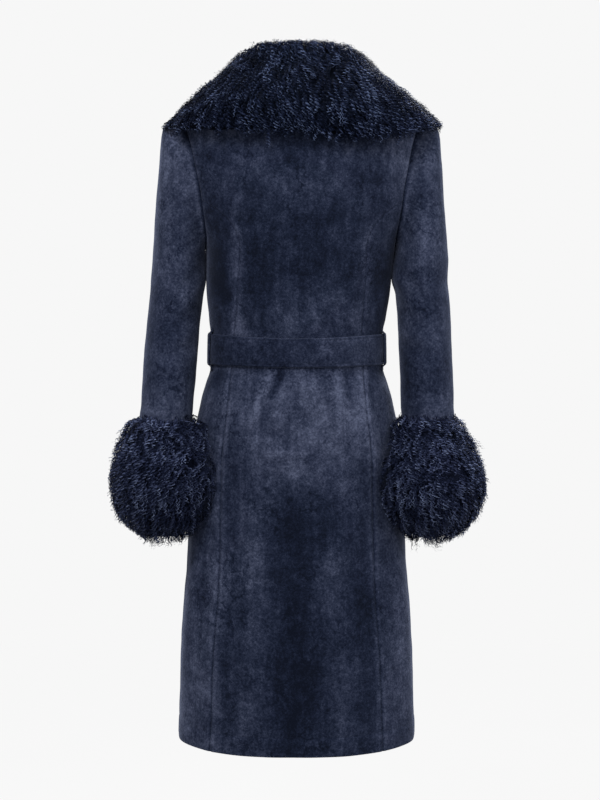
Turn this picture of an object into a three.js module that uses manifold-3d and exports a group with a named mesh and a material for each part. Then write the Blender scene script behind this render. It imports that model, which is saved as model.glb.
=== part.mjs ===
// A long suede coat with a wide curly fur collar, fur cuffs and a tie belt, filled out as if it were worn.
// Millimetres, +Z up. The front faces -Y, the back faces +Y, and the wearer's left side is +X.
// The origin is where the coat hangs: on the middle line, level with the two side neck points.
import * as THREE from "three";
import { mergeVertices } from "three/addons/utils/BufferGeometryUtils.js";
import Module from "manifold-3d";

// Driving dimensions
const CLOTH = 2; // thickness of the suede cloth
const SEAM = 0.34; // gap between two pieces at a seam
const HEM_Z = -1030; // level of the hem
const HEM_RISE = 6; // how much higher the hem hangs at the sides
const HEM_RISE_FROM = -880; // the level from which the cloth rises towards that
const UNDERARM_Z = -262; // lowest point of the armhole
const SHOULDER_Z = -52; // highest point of the armhole, where the shoulder seam ends
const ARMHOLE_BACK = 60; // how far the armhole reaches behind the shoulder line
const ARMHOLE_FRONT = 56; // and in front of it
const OVERLAP_LIFT = 3; // how far the right front lies outside the left one
const BELT_WIDTH = 50;
const BELT_THICK = 3;
const BELT_Z = -418; // middle of the belt at the sides
const BELT_SAG = 6; // how far the belt droops at the middle of the back
const BELT_LIFT = 1; // clearance between the coat and the belt
const LOOP_WIDTH = 11;
const LOOP_REACH = 10; // how far a belt loop runs past the belt's edges
const LOOP_TURN = 13; // degrees from the side towards the back
const TAIL_WIDTH = 46;
const TAIL_LENGTH = 330;
const COAT_COLOUR = 0x2f3347;
const FUR_COLOUR = 0x131a2b;

// The coat's level sections: half width, depth behind and in front of the middle, how square the oval is,
// how far it sways to the wearer's left, and how many degrees it turns
const BODY = [
  { z: HEM_Z, half: 187, back: 136, front: 138, square: 2.5, sway: 2, twist: 0 },
  { z: -893, half: 183, back: 130, front: 131, square: 2.5, sway: 2, twist: 0 },
  { z: -727, half: 171, back: 122, front: 122, square: 2.4, sway: 2, twist: 0 },
  { z: -640, half: 167, back: 119, front: 117, square: 2.3, sway: 2, twist: 0 },
  { z: -545, half: 160, back: 114, front: 111, square: 2.25, sway: 2, twist: 0 },
  { z: -498, half: 151, back: 108, front: 106, square: 2.2, sway: 2, twist: 0 },
  { z: -470, half: 143, back: 102, front: 102, square: 2.2, sway: 2, twist: 0.5 },
  { z: -448, half: 136, back: 96, front: 98, square: 2.2, sway: 2, twist: 1 },
  { z: -391, half: 135, back: 95, front: 98, square: 2.2, sway: 2, twist: 1.5 },
  { z: -372, half: 138, back: 96, front: 102, square: 2.2, sway: 1, twist: 2 },
  { z: -325, half: 144, back: 98, front: 112, square: 2.2, sway: -1, twist: 3 },
  { z: UNDERARM_Z, half: 148, back: 103, front: 122, square: 2.3, sway: -3, twist: 3.5 },
  { z: -191, half: 172, back: 106, front: 122, square: 2.4, sway: -3.5, twist: 3.5 },
  { z: -128, half: 186, back: 104, front: 112, square: 2.4, sway: -3.5, twist: 3.5 },
  { z: -84, half: 188, back: 98, front: 99, square: 2.4, sway: -3.5, twist: 3.5 },
  { z: SHOULDER_Z, half: 182, back: 90, front: 88, square: 2.3, sway: -3.5, twist: 3.5 },
  { z: -34, half: 139, back: 82, front: 79, square: 2.2, sway: -3.5, twist: 3.5 },
  { z: -16, half: 102, back: 72, front: 70, square: 2.1, sway: -3.5, twist: 3.5 },
  { z: 0, half: 76, back: 62, front: 62, square: 2, sway: -3.5, twist: 3.5 },
];

// The side back seam: how far from the middle it lies, from the hem up to the armhole
const SIDE_BACK_TOP_Z = -187;
const SIDE_BACK = [
  { z: HEM_Z, x: 132 },
  { z: -893, x: 128 },
  { z: -780, x: 120 },
  { z: -600, x: 115 },
  { z: -511, x: 106 },
  { z: -454, x: 102 },
  { z: -387, x: 98 },
  { z: -262, x: 97 },
  { z: -240, x: 102 },
  { z: -220, x: 114 },
  { z: -205, x: 129 },
  { z: -195, x: 143 },
  { z: SIDE_BACK_TOP_Z, x: 154.9 },
];

// The front edges: how far each reaches past the middle, from the neck point down the opening to the hem
const FRONT_EDGE = [
  { z: HEM_Z, x: -72 },
  { z: -458, x: -72 },
  { z: -385, x: -56 },
  { z: -325, x: -14 },
  { z: -262, x: 18 },
  { z: -180, x: 40 },
  { z: -90, x: 60 },
  { z: -30, x: 70 },
  { z: 0, x: 72 },
];

// The largest folds: where each lies round the coat in degrees from the wearer's left side, its drift in
// degrees from its lower end to its upper, its levels, its half width in degrees and its height, which is
// negative for a dip
const FOLDS = [
  { turn: 106, drift: -10, low: -610, high: -450, wide: 8, tall: -4 },
  { turn: 52, drift: 6, low: -660, high: -450, wide: 9, tall: 3.5 },
  { turn: 136, drift: -8, low: -640, high: -450, wide: 8, tall: 3.5 },
  { turn: 22, drift: 6, low: -1090, high: -560, wide: 9, tall: 5 },
  { turn: 158, drift: -5, low: -1090, high: -600, wide: 9, tall: 4.5 },
  { turn: 60, drift: 0, low: -390, high: -225, wide: 8, tall: 3.5 },
  { turn: 120, drift: 0, low: -390, high: -225, wide: 8, tall: 3.5 },
  { turn: 90, drift: 2, low: -390, high: -240, wide: 8, tall: -2.5 },
  { turn: 228, drift: 6, low: -700, high: -450, wide: 9, tall: 4 },
  { turn: 312, drift: -7, low: -720, high: -450, wide: 9, tall: 4 },
  { turn: 216, drift: -3, low: -390, high: -230, wide: 9, tall: 3.5 },
  { turn: 322, drift: 4, low: -390, high: -230, wide: 9, tall: 3.5 },
  { turn: 203, drift: 0, low: -1090, high: -640, wide: 9, tall: -4 },
  { turn: 332, drift: 0, low: -1090, high: -640, wide: 9, tall: -4 },
];

// The sleeves below the armhole: the middle of each, and half its width and depth
const BICEP_Z = -276;
const SLEEVE_END_Z = -521;
const SLEEVE = [
  { z: BICEP_Z, left: 187.4, right: 193.6, y: 3, half: 42.5, deep: 63 },
  { z: -308, left: 188.6, right: 191.8, y: 5, half: 44, deep: 61 },
  { z: -332, left: 191, right: 196, y: 7, half: 42.4, deep: 59.5 },
  { z: -385, left: 196, right: 199, y: 12, half: 42, deep: 56 },
  { z: -450, left: 201, right: 201, y: 22, half: 41.5, deep: 52 },
  { z: SLEEVE_END_Z, left: 206, right: 203, y: 34, half: 41, deep: 47 },
  { z: -620, left: 210, right: 209.5, y: 46, half: 40, deep: 44 },
  { z: -720, left: 211, right: 209, y: 50, half: 33, deep: 37 },
];
const CAP_REACH = { left: 33, right: 36 }; // how far the sleeve heads stand out past the shoulder seams' ends
const CAP_TURN = 0.14; // share of the sleeve head in which it turns from outwards to downwards

// The fur cuffs: how far the fur reaches from the middle of the left and of the right sleeve
const CUFF = [
  { z: SLEEVE_END_Z, left: 45, right: 45 },
  { z: -531, left: 58, right: 53 },
  { z: -545, left: 66, right: 59 },
  { z: -573, left: 75, right: 69 },
  { z: -604, left: 81, right: 79 },
  { z: -625, left: 81, right: 82 },
  { z: -651, left: 76, right: 77 },
  { z: -675, left: 66, right: 66 },
  { z: -695, left: 48, right: 48 },
];
const CUFF_FOOT_Z = -716;
const CUFF_GAP = 1.5; // clearance between the fur and the skirt

// The fur collar from the middle of the back (at 0) over the shoulder (at 0.5) to the belt (at 1):
// its neck edge, its ridge and its outer edge, on the wearer's left
const COLLAR = [
  { at: 0, nx: 0, ny: 56, nz: 0, rx: 0, ry: 72, rz: 60, ox: 0, oy: 118, oz: -84 },
  { at: 0.13, nx: 26, ny: 53, nz: 0, rx: 32, ry: 68, rz: 60, ox: 62, oy: 118, oz: -84 },
  { at: 0.27, nx: 48, ny: 43, nz: 0, rx: 60, ry: 54, rz: 57, ox: 128, oy: 105, oz: -82 },
  { at: 0.4, nx: 64, ny: 24, nz: 0, rx: 78, ry: 30, rz: 48, ox: 188, oy: 72, oz: -76 },
  { at: 0.5, nx: 70, ny: 2, nz: 0, rx: 86, ry: 2, rz: 38, ox: 214, oy: 6, oz: -74 },
  { at: 0.6, nx: 69, ny: -24, nz: -6, rx: 86, ry: -32, rz: 36, ox: 206, oy: -62, oz: -92 },
  { at: 0.7, nx: 62, ny: -62, nz: -48, rx: 80, ry: -88, rz: -8, ox: 182, oy: -100, oz: -134 },
  { at: 0.8, nx: 49, ny: -100, nz: -128, rx: 68, ry: -138, rz: -110, ox: 152, oy: -122, oz: -196 },
  { at: 0.9, nx: 30, ny: -118, nz: -224, rx: 52, ry: -153, rz: -222, ox: 114, oy: -132, oz: -274 },
  { at: 1, nx: 5, ny: -106, nz: -340, rx: 26, ry: -136, rz: -346, ox: 56, oy: -122, oz: -366 },
];
const COLLAR_RIGHT_DROP = 10; // how much lower the fur falls on the right half of the back
const COLLAR_RIGHT_REACH = 7; // how much further out and up it stands on the right shoulder
const COLLAR_SPLIT = 0.5; // where the back collar is joined to the two front ones
const FUR_ROLL = 9; // how far the fur stands into the neck opening
const FUR_FULLNESS = 15; // how far the fall of the fur bulges
const FUR_FLATTER = 0.62; // share of that bulge that is lost over the shoulders
const FUR_SINK = 22; // how deep the collar is started inside the coat, before the coat is cut from it
const FUR_CLEARANCE = 1.2; // gap left under the collar by that cut

const radians = THREE.MathUtils.degToRad;
const { lerp, smoothstep } = THREE.MathUtils;

// A named column of a table at one place, on a smooth curve that never overshoots the rows
function read(rows, column, place, key = "z") {
  const last = rows.length - 1;
  const slope = (i) => (rows[i + 1][column] - rows[i][column]) / (rows[i + 1][key] - rows[i][key]);
  const tangent = (i) => {
    if (i === 0) return slope(0);
    if (i === last) return slope(last - 1);
    const a = slope(i - 1);
    const b = slope(i);
    return a * b > 0 ? (2 * a * b) / (a + b) : 0;
  };
  if (place <= rows[0][key]) return rows[0][column];
  if (place >= rows[last][key]) return rows[last][column];
  const i = rows.findIndex((row) => row[key] > place) - 1;
  const step = rows[i + 1][key] - rows[i][key];
  const t = (place - rows[i][key]) / step;
  const start = rows[i][column] * (1 + 2 * t) * (1 - t) ** 2 + tangent(i) * step * t * (1 - t) ** 2;
  const end = rows[i + 1][column] * t * t * (3 - 2 * t) + tangent(i + 1) * step * t * t * (t - 1);
  return start + end;
}

// How far the folds lift the cloth at a turn in degrees and a level
function foldHeight(turn, z) {
  return FOLDS.reduce((sum, fold) => {
    if (z < fold.low || z > fold.high) return sum;
    const share = (z - fold.low) / (fold.high - fold.low);
    const away = (turn - fold.turn - fold.drift * share) / fold.wide;
    return sum + fold.tall * Math.sin(Math.PI * share) * Math.exp(-away * away);
  }, 0);
}

// The coat's section at a level, as one object
function section(z) {
  const names = ["half", "back", "front", "square", "sway", "twist"];
  return Object.fromEntries(names.map((name) => [name, read(BODY, name, z)]));
}

// A point turned and shifted as the coat is at its own level
function sway(point) {
  const { sway: shift, twist } = section(point.z);
  return point.applyAxisAngle(new THREE.Vector3(0, 0, 1), radians(twist)).add(new THREE.Vector3(shift, 0, 0));
}

// How far outside the coat's oval a point is: 0 on it, negative inside
function ovalMeasure(x, y, z) {
  const s = section(z);
  const depth = y > 0 ? s.back : s.front;
  return Math.abs(x / s.half) ** s.square + Math.abs(y / depth) ** s.square - 1;
}

// The direction straight out of the coat's surface, before it is turned
function outward(x, y, z) {
  const h = 0.5;
  return new THREE.Vector3(
    ovalMeasure(x + h, y, z) - ovalMeasure(x - h, y, z),
    ovalMeasure(x, y + h, z) - ovalMeasure(x, y - h, z),
    ovalMeasure(x, y, z + h) - ovalMeasure(x, y, z - h),
  ).normalize();
}

// A point of the coat's surface with its outward direction: turn is in degrees, 0 at the wearer's left side,
// 90 at the middle of the back, and lift is how far the point stands off the surface
function coatPoint(turn, z, lift = 0) {
  const s = section(z);
  const c = Math.cos(radians(turn));
  const d = Math.sin(radians(turn));
  const power = 2 / s.square;
  const x = s.half * Math.sign(c) * Math.abs(c) ** power;
  const y = (d > 0 ? s.back : s.front) * Math.sign(d) * Math.abs(d) ** power;
  const normal = outward(x, y, z);
  const rise = HEM_RISE * c * c * smoothstep(-z, -HEM_RISE_FROM, -HEM_Z);
  const point = new THREE.Vector3(x, y, z).addScaledVector(normal, lift + foldHeight((turn + 360) % 360, z));
  point.z += rise;
  const turned = normal.applyAxisAngle(new THREE.Vector3(0, 0, 1), radians(s.twist));
  return { point: sway(point), normal: turned };
}

// The turn, from 0 to 90 degrees, at which the section at z is x wide
function turnAtX(x, z) {
  const { half, square } = section(z);
  const share = Math.min(1, Math.abs(x) / half);
  return THREE.MathUtils.radToDeg(Math.acos(Math.sign(x) * share ** (square / 2)));
}

const ARMHOLE_MIDDLE = (UNDERARM_Z + SHOULDER_Z) / 2;
const ARMHOLE_HALF = (SHOULDER_Z - UNDERARM_Z) / 2;

// The turn of the armhole's edge at z, measured from the side, or 0 above and below the armhole
function armholeTurn(z, reach, depth) {
  const away = (z - ARMHOLE_MIDDLE) / ARMHOLE_HALF;
  if (Math.abs(away) >= 1) return 0;
  const y = reach * Math.sqrt(1 - away * away);
  const { square } = section(z);
  return THREE.MathUtils.radToDeg(Math.asin((y / depth(z)) ** (square / 2)));
}

const backDepth = (z) => read(BODY, "back", z);
const frontDepth = (z) => read(BODY, "front", z);
const armholeBack = (z) => armholeTurn(z, ARMHOLE_BACK, backDepth);
const armholeFront = (z) => armholeTurn(z, ARMHOLE_FRONT, frontDepth);
const sideBackTurn = (z) => turnAtX(read(SIDE_BACK, "x", z), z);
const frontEdgeTurn = (z) => turnAtX(read(FRONT_EDGE, "x", z), z);

// The levels of the grids, closer where the form changes fast: each zone runs down from its top in even steps
const ZONES = [
  { top: HEM_Z, steps: 0 },
  { top: -640, steps: 5 },
  { top: -520, steps: 3 },
  { top: -448, steps: 3 },
  { top: -390, steps: 2 },
  { top: -274, steps: 4 },
  { top: UNDERARM_Z, steps: 1 },
  { top: -256, steps: 1 },
  { top: -238, steps: 1 },
  { top: -194, steps: 4 },
  { top: SIDE_BACK_TOP_Z, steps: 1 },
  { top: -98, steps: 3 },
  { top: -64, steps: 2 },
  { top: SHOULDER_Z, steps: 2 },
  { top: 0, steps: 4 },
];
const LEVELS = ZONES.flatMap((zone, i) => {
  if (i === 0) return [zone.top];
  const low = ZONES[i - 1].top;
  return Array.from({ length: zone.steps }, (_, k) => lerp(low, zone.top, (k + 1) / zone.steps));
});

// A closed solid from a list of corner points and triangles, turned so that its faces look outwards
function solidGeometry(points, triangles) {
  const volume = triangles.reduce((sum, [a, b, c]) => {
    return sum + points[a].dot(new THREE.Vector3().crossVectors(points[b], points[c]));
  }, 0);
  const geometry = new THREE.BufferGeometry().setFromPoints(points);
  geometry.setIndex(triangles.flatMap(([a, b, c]) => (volume < 0 ? [a, c, b] : [a, b, c])));
  geometry.computeVertexNormals();
  return geometry;
}

// The triangles between the cells of a grid with this many rows and columns, which may close round
function gridTriangles(rows, columns, first, flip, closeRows, closeColumns) {
  const made = [];
  for (let i = 0; i < rows - (closeRows ? 0 : 1); i++) {
    for (let j = 0; j < columns - (closeColumns ? 0 : 1); j++) {
      const at = (r, c) => first + (r % rows) * columns + (c % columns);
      const [a, b, c, d] = [at(i, j), at(i, j + 1), at(i + 1, j + 1), at(i + 1, j)];
      made.push(...(flip ? [[a, c, b], [a, d, c]] : [[a, b, c], [a, c, d]]));
    }
  }
  return made;
}

// A closed wall of cloth: grid holds rows of { point, normal } on the outside, and a tube's rows close round
function clothWall(grid, thickness, tube = false) {
  const rows = grid.length;
  const columns = grid[0].length;
  const outer = grid.flat().map(({ point }) => point);
  const inner = grid.flat().map(({ point, normal }) => point.clone().addScaledVector(normal, -thickness));
  const count = rows * columns;
  const triangles = [
    ...gridTriangles(rows, columns, 0, false, false, tube),
    ...gridTriangles(rows, columns, count, true, false, tube),
  ];
  const band = (a, b) => triangles.push([a, b, b + count], [a, b + count, a + count]);
  for (let j = 0; j < columns - (tube ? 0 : 1); j++) {
    const next = (j + 1) % columns;
    band(next, j);
    band((rows - 1) * columns + j, (rows - 1) * columns + next);
  }
  for (let i = 0; i < rows - 1 && !tube; i++) {
    band(i * columns, (i + 1) * columns);
    band((i + 2) * columns - 1, (i + 1) * columns - 1);
  }
  return solidGeometry([...outer, ...inner], triangles);
}

// A filled solid through closed rings of points, each end closed by a fan
function loft(rings) {
  const columns = rings[0].length;
  const centre = (ring) => {
    return ring.reduce((sum, p) => sum.add(p), new THREE.Vector3()).divideScalar(columns);
  };
  const points = [...rings.flat(), centre(rings[0]), centre(rings[rings.length - 1])];
  const start = rings.length * columns;
  const last = start - columns;
  const triangles = gridTriangles(rings.length, columns, 0, false, false, true);
  for (let j = 0; j < columns; j++) {
    const next = (j + 1) % columns;
    triangles.push([start, next, j], [start + 1, last + j, last + next]);
  }
  return solidGeometry(points, triangles);
}

// The outward directions of a grid of points whose rows close round, from the neighbouring points
function tubeGrid(rows) {
  return rows.map((row, i) => row.map((point, j) => {
    const along = new THREE.Vector3().subVectors(
      rows[Math.min(i + 1, rows.length - 1)][j],
      rows[Math.max(i - 1, 0)][j],
    );
    const round = new THREE.Vector3().subVectors(
      row[(j + 1) % row.length],
      row[(j - 1 + row.length) % row.length],
    );
    return { point, normal: new THREE.Vector3().crossVectors(round, along).normalize() };
  }));
}

// A panel of the coat: stops are the turns in degrees of its columns at each level, with the first and the
// last at its edges, which are drawn in by half a seam gap
function panel(levels, stops, lift = () => 0) {
  const grid = levels.map((z) => {
    const turns = stops(z);
    const last = turns.length - 1;
    const inset = (turn) => {
      const perDegree = coatPoint(turn + 0.5, z).point.distanceTo(coatPoint(turn - 0.5, z).point);
      return (Math.sign(turns[last] - turns[0]) * SEAM) / 2 / Math.max(0.2, perDegree);
    };
    turns[0] += inset(turns[0]);
    turns[last] -= inset(turns[last]);
    return turns.map((turn) => coatPoint(turn, z, lift(turn)));
  });
  return clothWall(grid, CLOTH);
}

const spread = (from, to, count) => Array.from({ length: count + 1 }, (_, k) => lerp(from, to, k / count));

// Pieces of the back
function backCentre() {
  const edge = (z) => (z <= SIDE_BACK_TOP_Z ? sideBackTurn(z) : armholeBack(z));
  return panel(LEVELS, (z) => spread(edge(z), 180 - edge(z), 14));
}

function backSide(side) {
  const place = (turn) => (side > 0 ? turn : 180 - turn);
  const levels = LEVELS.filter((z) => z <= SIDE_BACK_TOP_Z);
  return panel(levels, (z) => spread(place(armholeBack(z)), place(sideBackTurn(z)), 5));
}

// Pieces of the front, a side panel and a front panel with a seam between them on each side. The right front
// laps over the left one below the opening, and both have the same columns where they lap.
function overLift(turn) {
  return OVERLAP_LIFT * smoothstep(turn, 208, 238);
}

const lapStart = (z) => Math.min(180 - frontEdgeTurn(z), frontEdgeTurn(z) - 8);
const sideFrontTurn = (z) => lerp(armholeFront(z), lapStart(z), 0.5);

function frontPanel(side, stops) {
  const place = (turn) => (side > 0 ? 360 - turn : 180 + turn);
  return panel(LEVELS, (z) => stops(z).map(place), side > 0 ? () => 0 : overLift);
}

const frontSide = (side) => frontPanel(side, (z) => spread(armholeFront(z), sideFrontTurn(z), 4));

function frontPiece(side) {
  return frontPanel(side, (z) => [
    ...spread(sideFrontTurn(z), lapStart(z), 4),
    ...spread(lapStart(z), frontEdgeTurn(z), 5).slice(1),
  ]);
}

// The sleeves: angle 0 is the outer side and 90 the back. Their columns start from the panels' own
// edge points.
const BACK_ANGLES = LEVELS.filter((z) => z > UNDERARM_Z + 1 && z < SHOULDER_Z - 1)
  .map((z) => THREE.MathUtils.radToDeg(Math.acos((z - ARMHOLE_MIDDLE) / ARMHOLE_HALF)))
  .sort((a, b) => a - b);
const SLEEVE_ANGLES = [0, ...BACK_ANGLES, 180, ...BACK_ANGLES.map((angle) => 360 - angle).reverse()];

function armholePoint(side, angle) {
  const z = ARMHOLE_MIDDLE + ARMHOLE_HALF * Math.cos(radians(angle));
  const turn = Math.sin(radians(angle)) >= 0 ? armholeBack(z) : -armholeFront(z);
  return coatPoint(side > 0 ? turn : 180 - turn, z);
}

function sleeveRing(side, angle, z, grow = 0) {
  const x = read(SLEEVE, side > 0 ? "left" : "right", -z, "down");
  const half = read(SLEEVE, "half", -z, "down") + grow;
  const deep = read(SLEEVE, "deep", -z, "down") + grow;
  const c = Math.cos(radians(angle));
  const s = Math.sin(radians(angle));
  return new THREE.Vector3(side * (x + half * c), read(SLEEVE, "y", -z, "down") + deep * s, z);
}
SLEEVE.forEach((row) => {
  row.down = -row.z;
});

// A point of the sleeve head, at a share of the way from the armhole to the first full ring
function capPoint(side, angle, share, grow) {
  const { point: root, normal } = armholePoint(side, angle);
  const ring = sleeveRing(side, angle, BICEP_Z, grow);
  const under = (1 - Math.cos(radians(angle))) / 2;
  const tangent = new THREE.Vector3().subVectors(
    armholePoint(side, angle + 2).point,
    armholePoint(side, angle - 2).point,
  );
  const away = new THREE.Vector3().crossVectors(tangent, normal).normalize();
  if (away.x * side < 0) away.negate();
  root.addScaledVector(away, SEAM * (1 - under) - grow * 1.5);
  root.addScaledVector(normal, grow + under ** 2);
  const turn = Math.min(1, share / CAP_TURN);
  const swell = Math.sqrt(1 - (1 - turn) ** 2);
  const reach = (CAP_REACH[side > 0 ? "left" : "right"] + grow) * (1 - under) * (1 - share) * swell;
  return root.lerp(ring, share).add(new THREE.Vector3(side * reach, 0, 0));
}

const CAP_SHARES = [0, 0.03, 0.08, 0.17, 0.34, 0.55, 0.78];
const SLEEVE_LEVELS = [BICEP_Z, -308, -332, -370, -420, -470, SLEEVE_END_Z + SEAM];

function sleeveRows(side, grow = 0) {
  return [
    ...CAP_SHARES.map((share) => SLEEVE_ANGLES.map((angle) => capPoint(side, angle, share, grow))),
    ...SLEEVE_LEVELS.map((z) => SLEEVE_ANGLES.map((angle) => sleeveRing(side, angle, z, grow))),
  ];
}

function outwardTube(rows) {
  const grid = tubeGrid(rows);
  const middle = rows[rows.length - 1].reduce((sum, p) => sum.add(p), new THREE.Vector3());
  middle.divideScalar(rows[0].length);
  const last = grid[grid.length - 1][0];
  const facesIn = last.normal.dot(new THREE.Vector3().subVectors(last.point, middle)) < 0;
  if (facesIn) grid.flat().forEach(({ normal }) => normal.negate());
  return grid;
}

const sleeve = (side) => clothWall(outwardTube(sleeveRows(side)), CLOTH, true);

// The fur cuffs: a thick ring, whose inner side is later cut clear of the skirt
const CUFF_COLUMNS = 20;
const CUFF_RIM = 8; // how far the fur's rounded foot reaches below its last full ring

function cuffPoint(side, angle, z, reach) {
  const outer = sleeveRing(side, angle, z);
  const middle = sleeveRing(side, angle + 180, z).lerp(outer, 0.5);
  const direction = outer.clone().sub(middle).normalize();
  return middle.addScaledVector(direction, Math.max(reach, outer.distanceTo(middle) + 2));
}

function cuff(side) {
  const angles = Array.from({ length: CUFF_COLUMNS }, (_, k) => (360 * k) / CUFF_COLUMNS);
  const outer = CUFF.map((row) => {
    const reach = side > 0 ? row.left : row.right;
    return angles.map((angle) => cuffPoint(side, angle, row.z - SEAM, reach));
  });
  const foot = angles.map((angle) => sleeveRing(side, angle, CUFF_FOOT_Z, CUFF_RIM / 2));
  const inner = [CUFF_FOOT_Z + CUFF_RIM, -650, -580, SLEEVE_END_Z - SEAM].map((z) => {
    return angles.map((angle) => sleeveRing(side, angle, z, -CLOTH));
  });
  const rings = [...outer, foot, ...inner];
  const triangles = gridTriangles(rings.length, CUFF_COLUMNS, 0, false, true, true);
  return solidGeometry(rings.flat(), triangles);
}

// The fur collar: closed sections round the neck and down the fronts
function collarSection(place) {
  const share = Math.abs(place);
  const side = place < 0 ? -1 : 1;
  const onBack = Math.max(0, 1 - share / COLLAR_SPLIT);
  const drop = side < 0 ? COLLAR_RIGHT_DROP * Math.min(1, onBack * 2) * Math.min(1, share * 8) : 0;
  const corner = (letter) => {
    const value = (axis) => read(COLLAR, letter + axis, share, "at");
    return new THREE.Vector3(side * value("x"), value("y"), value("z"));
  };
  const neck = corner("n");
  const ridge = corner("r");
  const onShoulder = side < 0 ? COLLAR_RIGHT_REACH * Math.exp(-(((share - 0.47) / 0.1) ** 2)) : 0;
  const edge = corner("o").add(new THREE.Vector3(-onShoulder, 0, onShoulder - drop));
  const fall = new THREE.Vector3().subVectors(edge, ridge);
  const along = collarAlong(share, side);
  const swell = new THREE.Vector3().crossVectors(fall, along).normalize();
  if (swell.dot(new THREE.Vector3().subVectors(ridge, neck)) < 0) swell.negate();
  const into = new THREE.Vector3().subVectors(neck, ridge).cross(along).normalize();
  if (into.dot(fall) > 0) into.negate();
  const full = FUR_FULLNESS * (1 - FUR_FLATTER * Math.exp(-(((share - 0.5) / 0.14) ** 2)));
  const sunk = (p) => p.clone().addScaledVector(outward(p.x, p.y, Math.min(p.z, -2)), -FUR_SINK);
  const points = [
    neck.clone().lerp(sunk(neck), 0.8),
    neck.clone().addScaledVector(into, FUR_ROLL * 0.6),
    neck.clone().lerp(ridge, 0.5).addScaledVector(into, FUR_ROLL),
    ridge.clone().lerp(neck, 0.12).addScaledVector(into, FUR_ROLL * 0.5),
    ridge.clone().lerp(edge, 0.05).addScaledVector(swell, full * 0.25),
    ridge.clone().lerp(edge, 0.3).addScaledVector(swell, full * 0.7),
    ridge.clone().lerp(edge, 0.58).addScaledVector(swell, full),
    ridge.clone().lerp(edge, 0.84).addScaledVector(swell, full * 0.7),
    edge.clone(),
    edge.clone().lerp(sunk(edge), 1.1),
    edge.clone().lerp(neck, 0.5).lerp(sunk(edge.clone().lerp(neck, 0.5)), 1.4),
  ];
  return points.map(sway);
}

function collarAlong(share, side) {
  const value = (axis, at) => read(COLLAR, "r" + axis, THREE.MathUtils.clamp(at, 0, 1), "at");
  const step = 0.02;
  const [from, to] = [share - step, share + step];
  return new THREE.Vector3(
    side * (value("x", to) - value("x", Math.abs(from)) * Math.sign(from || 1)),
    value("y", to) - value("y", Math.abs(from)),
    value("z", to) - value("z", Math.abs(from)),
  ).normalize();
}

function collarLoft(from, to, steps) {
  return loft(Array.from({ length: steps + 1 }, (_, k) => collarSection(lerp(from, to, k / steps))));
}

// The filled form of the coat and its sleeves, which the fur is cut by where it would reach into them
function coatForm(low, high, clearance) {
  const levels = LEVELS.filter((z) => z > low && z <= high);
  const ring = (z) => spread(0, 354, 59).map((turn) => coatPoint(turn, z, clearance + overLift(turn)).point);
  const top = ring(high).map((point) => point.setZ(high + clearance));
  return loft([...levels.map(ring), top]);
}

const sleeveForm = (side) => loft(sleeveRows(side, FUR_CLEARANCE * 1.6));

const wasm = await Module();
wasm.setup();

function toSolid(geometry) {
  const bare = new THREE.BufferGeometry();
  bare.setAttribute("position", geometry.getAttribute("position"));
  bare.setIndex(geometry.getIndex());
  const merged = mergeVertices(bare, 1e-3);
  return new wasm.Manifold(
    new wasm.Mesh({
      numProp: 3,
      vertProperties: new Float32Array(merged.attributes.position.array),
      triVerts: new Uint32Array(merged.index.array),
    }),
  );
}

function fromSolid(solid) {
  const mesh = solid.getMesh();
  const geometry = new THREE.BufferGeometry();
  geometry.setAttribute("position", new THREE.BufferAttribute(new Float32Array(mesh.vertProperties), 3));
  geometry.setIndex(new THREE.BufferAttribute(new Uint32Array(mesh.triVerts), 1));
  geometry.computeVertexNormals();
  return geometry;
}

// The largest body that is left of a geometry once the cutters are taken away
function cutBy(geometry, cutters) {
  const left = cutters.reduce((solid, cutter) => solid.subtract(cutter), toSolid(geometry));
  const bodies = left.decompose().sort((a, b) => b.volume() - a.volume());
  return fromSolid(bodies[0]);
}

// The belt: a band round the waist, a knot in front and two tails that hang from it
function beltLift(turn) {
  return BELT_LIFT + overLift(turn) * (1 - smoothstep(turn, 300, 325));
}

const beltDrop = (turn) => BELT_SAG * Math.exp(-(((turn - 90) / 50) ** 2));

function belt() {
  const turns = Array.from({ length: 45 }, (_, k) => k * 8);
  const rows = [-1, -0.5, 0, 0.5, 1].map((share) => turns.map((turn) => {
    const z = BELT_Z + (share * BELT_WIDTH) / 2 - beltDrop(turn);
    const { point, normal } = coatPoint(turn, z);
    normal.setZ(0).normalize();
    return { point: point.addScaledVector(normal, beltLift(turn) + BELT_THICK), normal };
  }));
  return clothWall(rows, BELT_THICK, true);
}

const KNOT = { wide: 44, deep: 24, tall: 62 };
const TAIL_ROOT_LIFT = 9; // how far the tails stand out where they leave the knot
const TAIL_BELOW_KNOT = 3.6;

function beltKnot() {
  const shape = new THREE.SphereGeometry(1, 16, 10);
  const at = shape.getAttribute("position");
  const boxy = (v) => Math.sign(v) * Math.abs(v) ** 0.72;
  for (let i = 0; i < at.count; i++) {
    at.setXYZ(
      i,
      (boxy(at.getX(i)) * KNOT.wide) / 2,
      (boxy(at.getY(i)) * KNOT.deep) / 2,
      (boxy(at.getZ(i)) * KNOT.tall) / 2,
    );
  }
  return shape;
}

function knotPlace() {
  const { point } = coatPoint(270, BELT_Z, beltLift(270) + BELT_THICK + 0.2);
  return new THREE.Vector3(point.x, point.y - KNOT.deep / 2, BELT_Z - 3);
}

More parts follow.
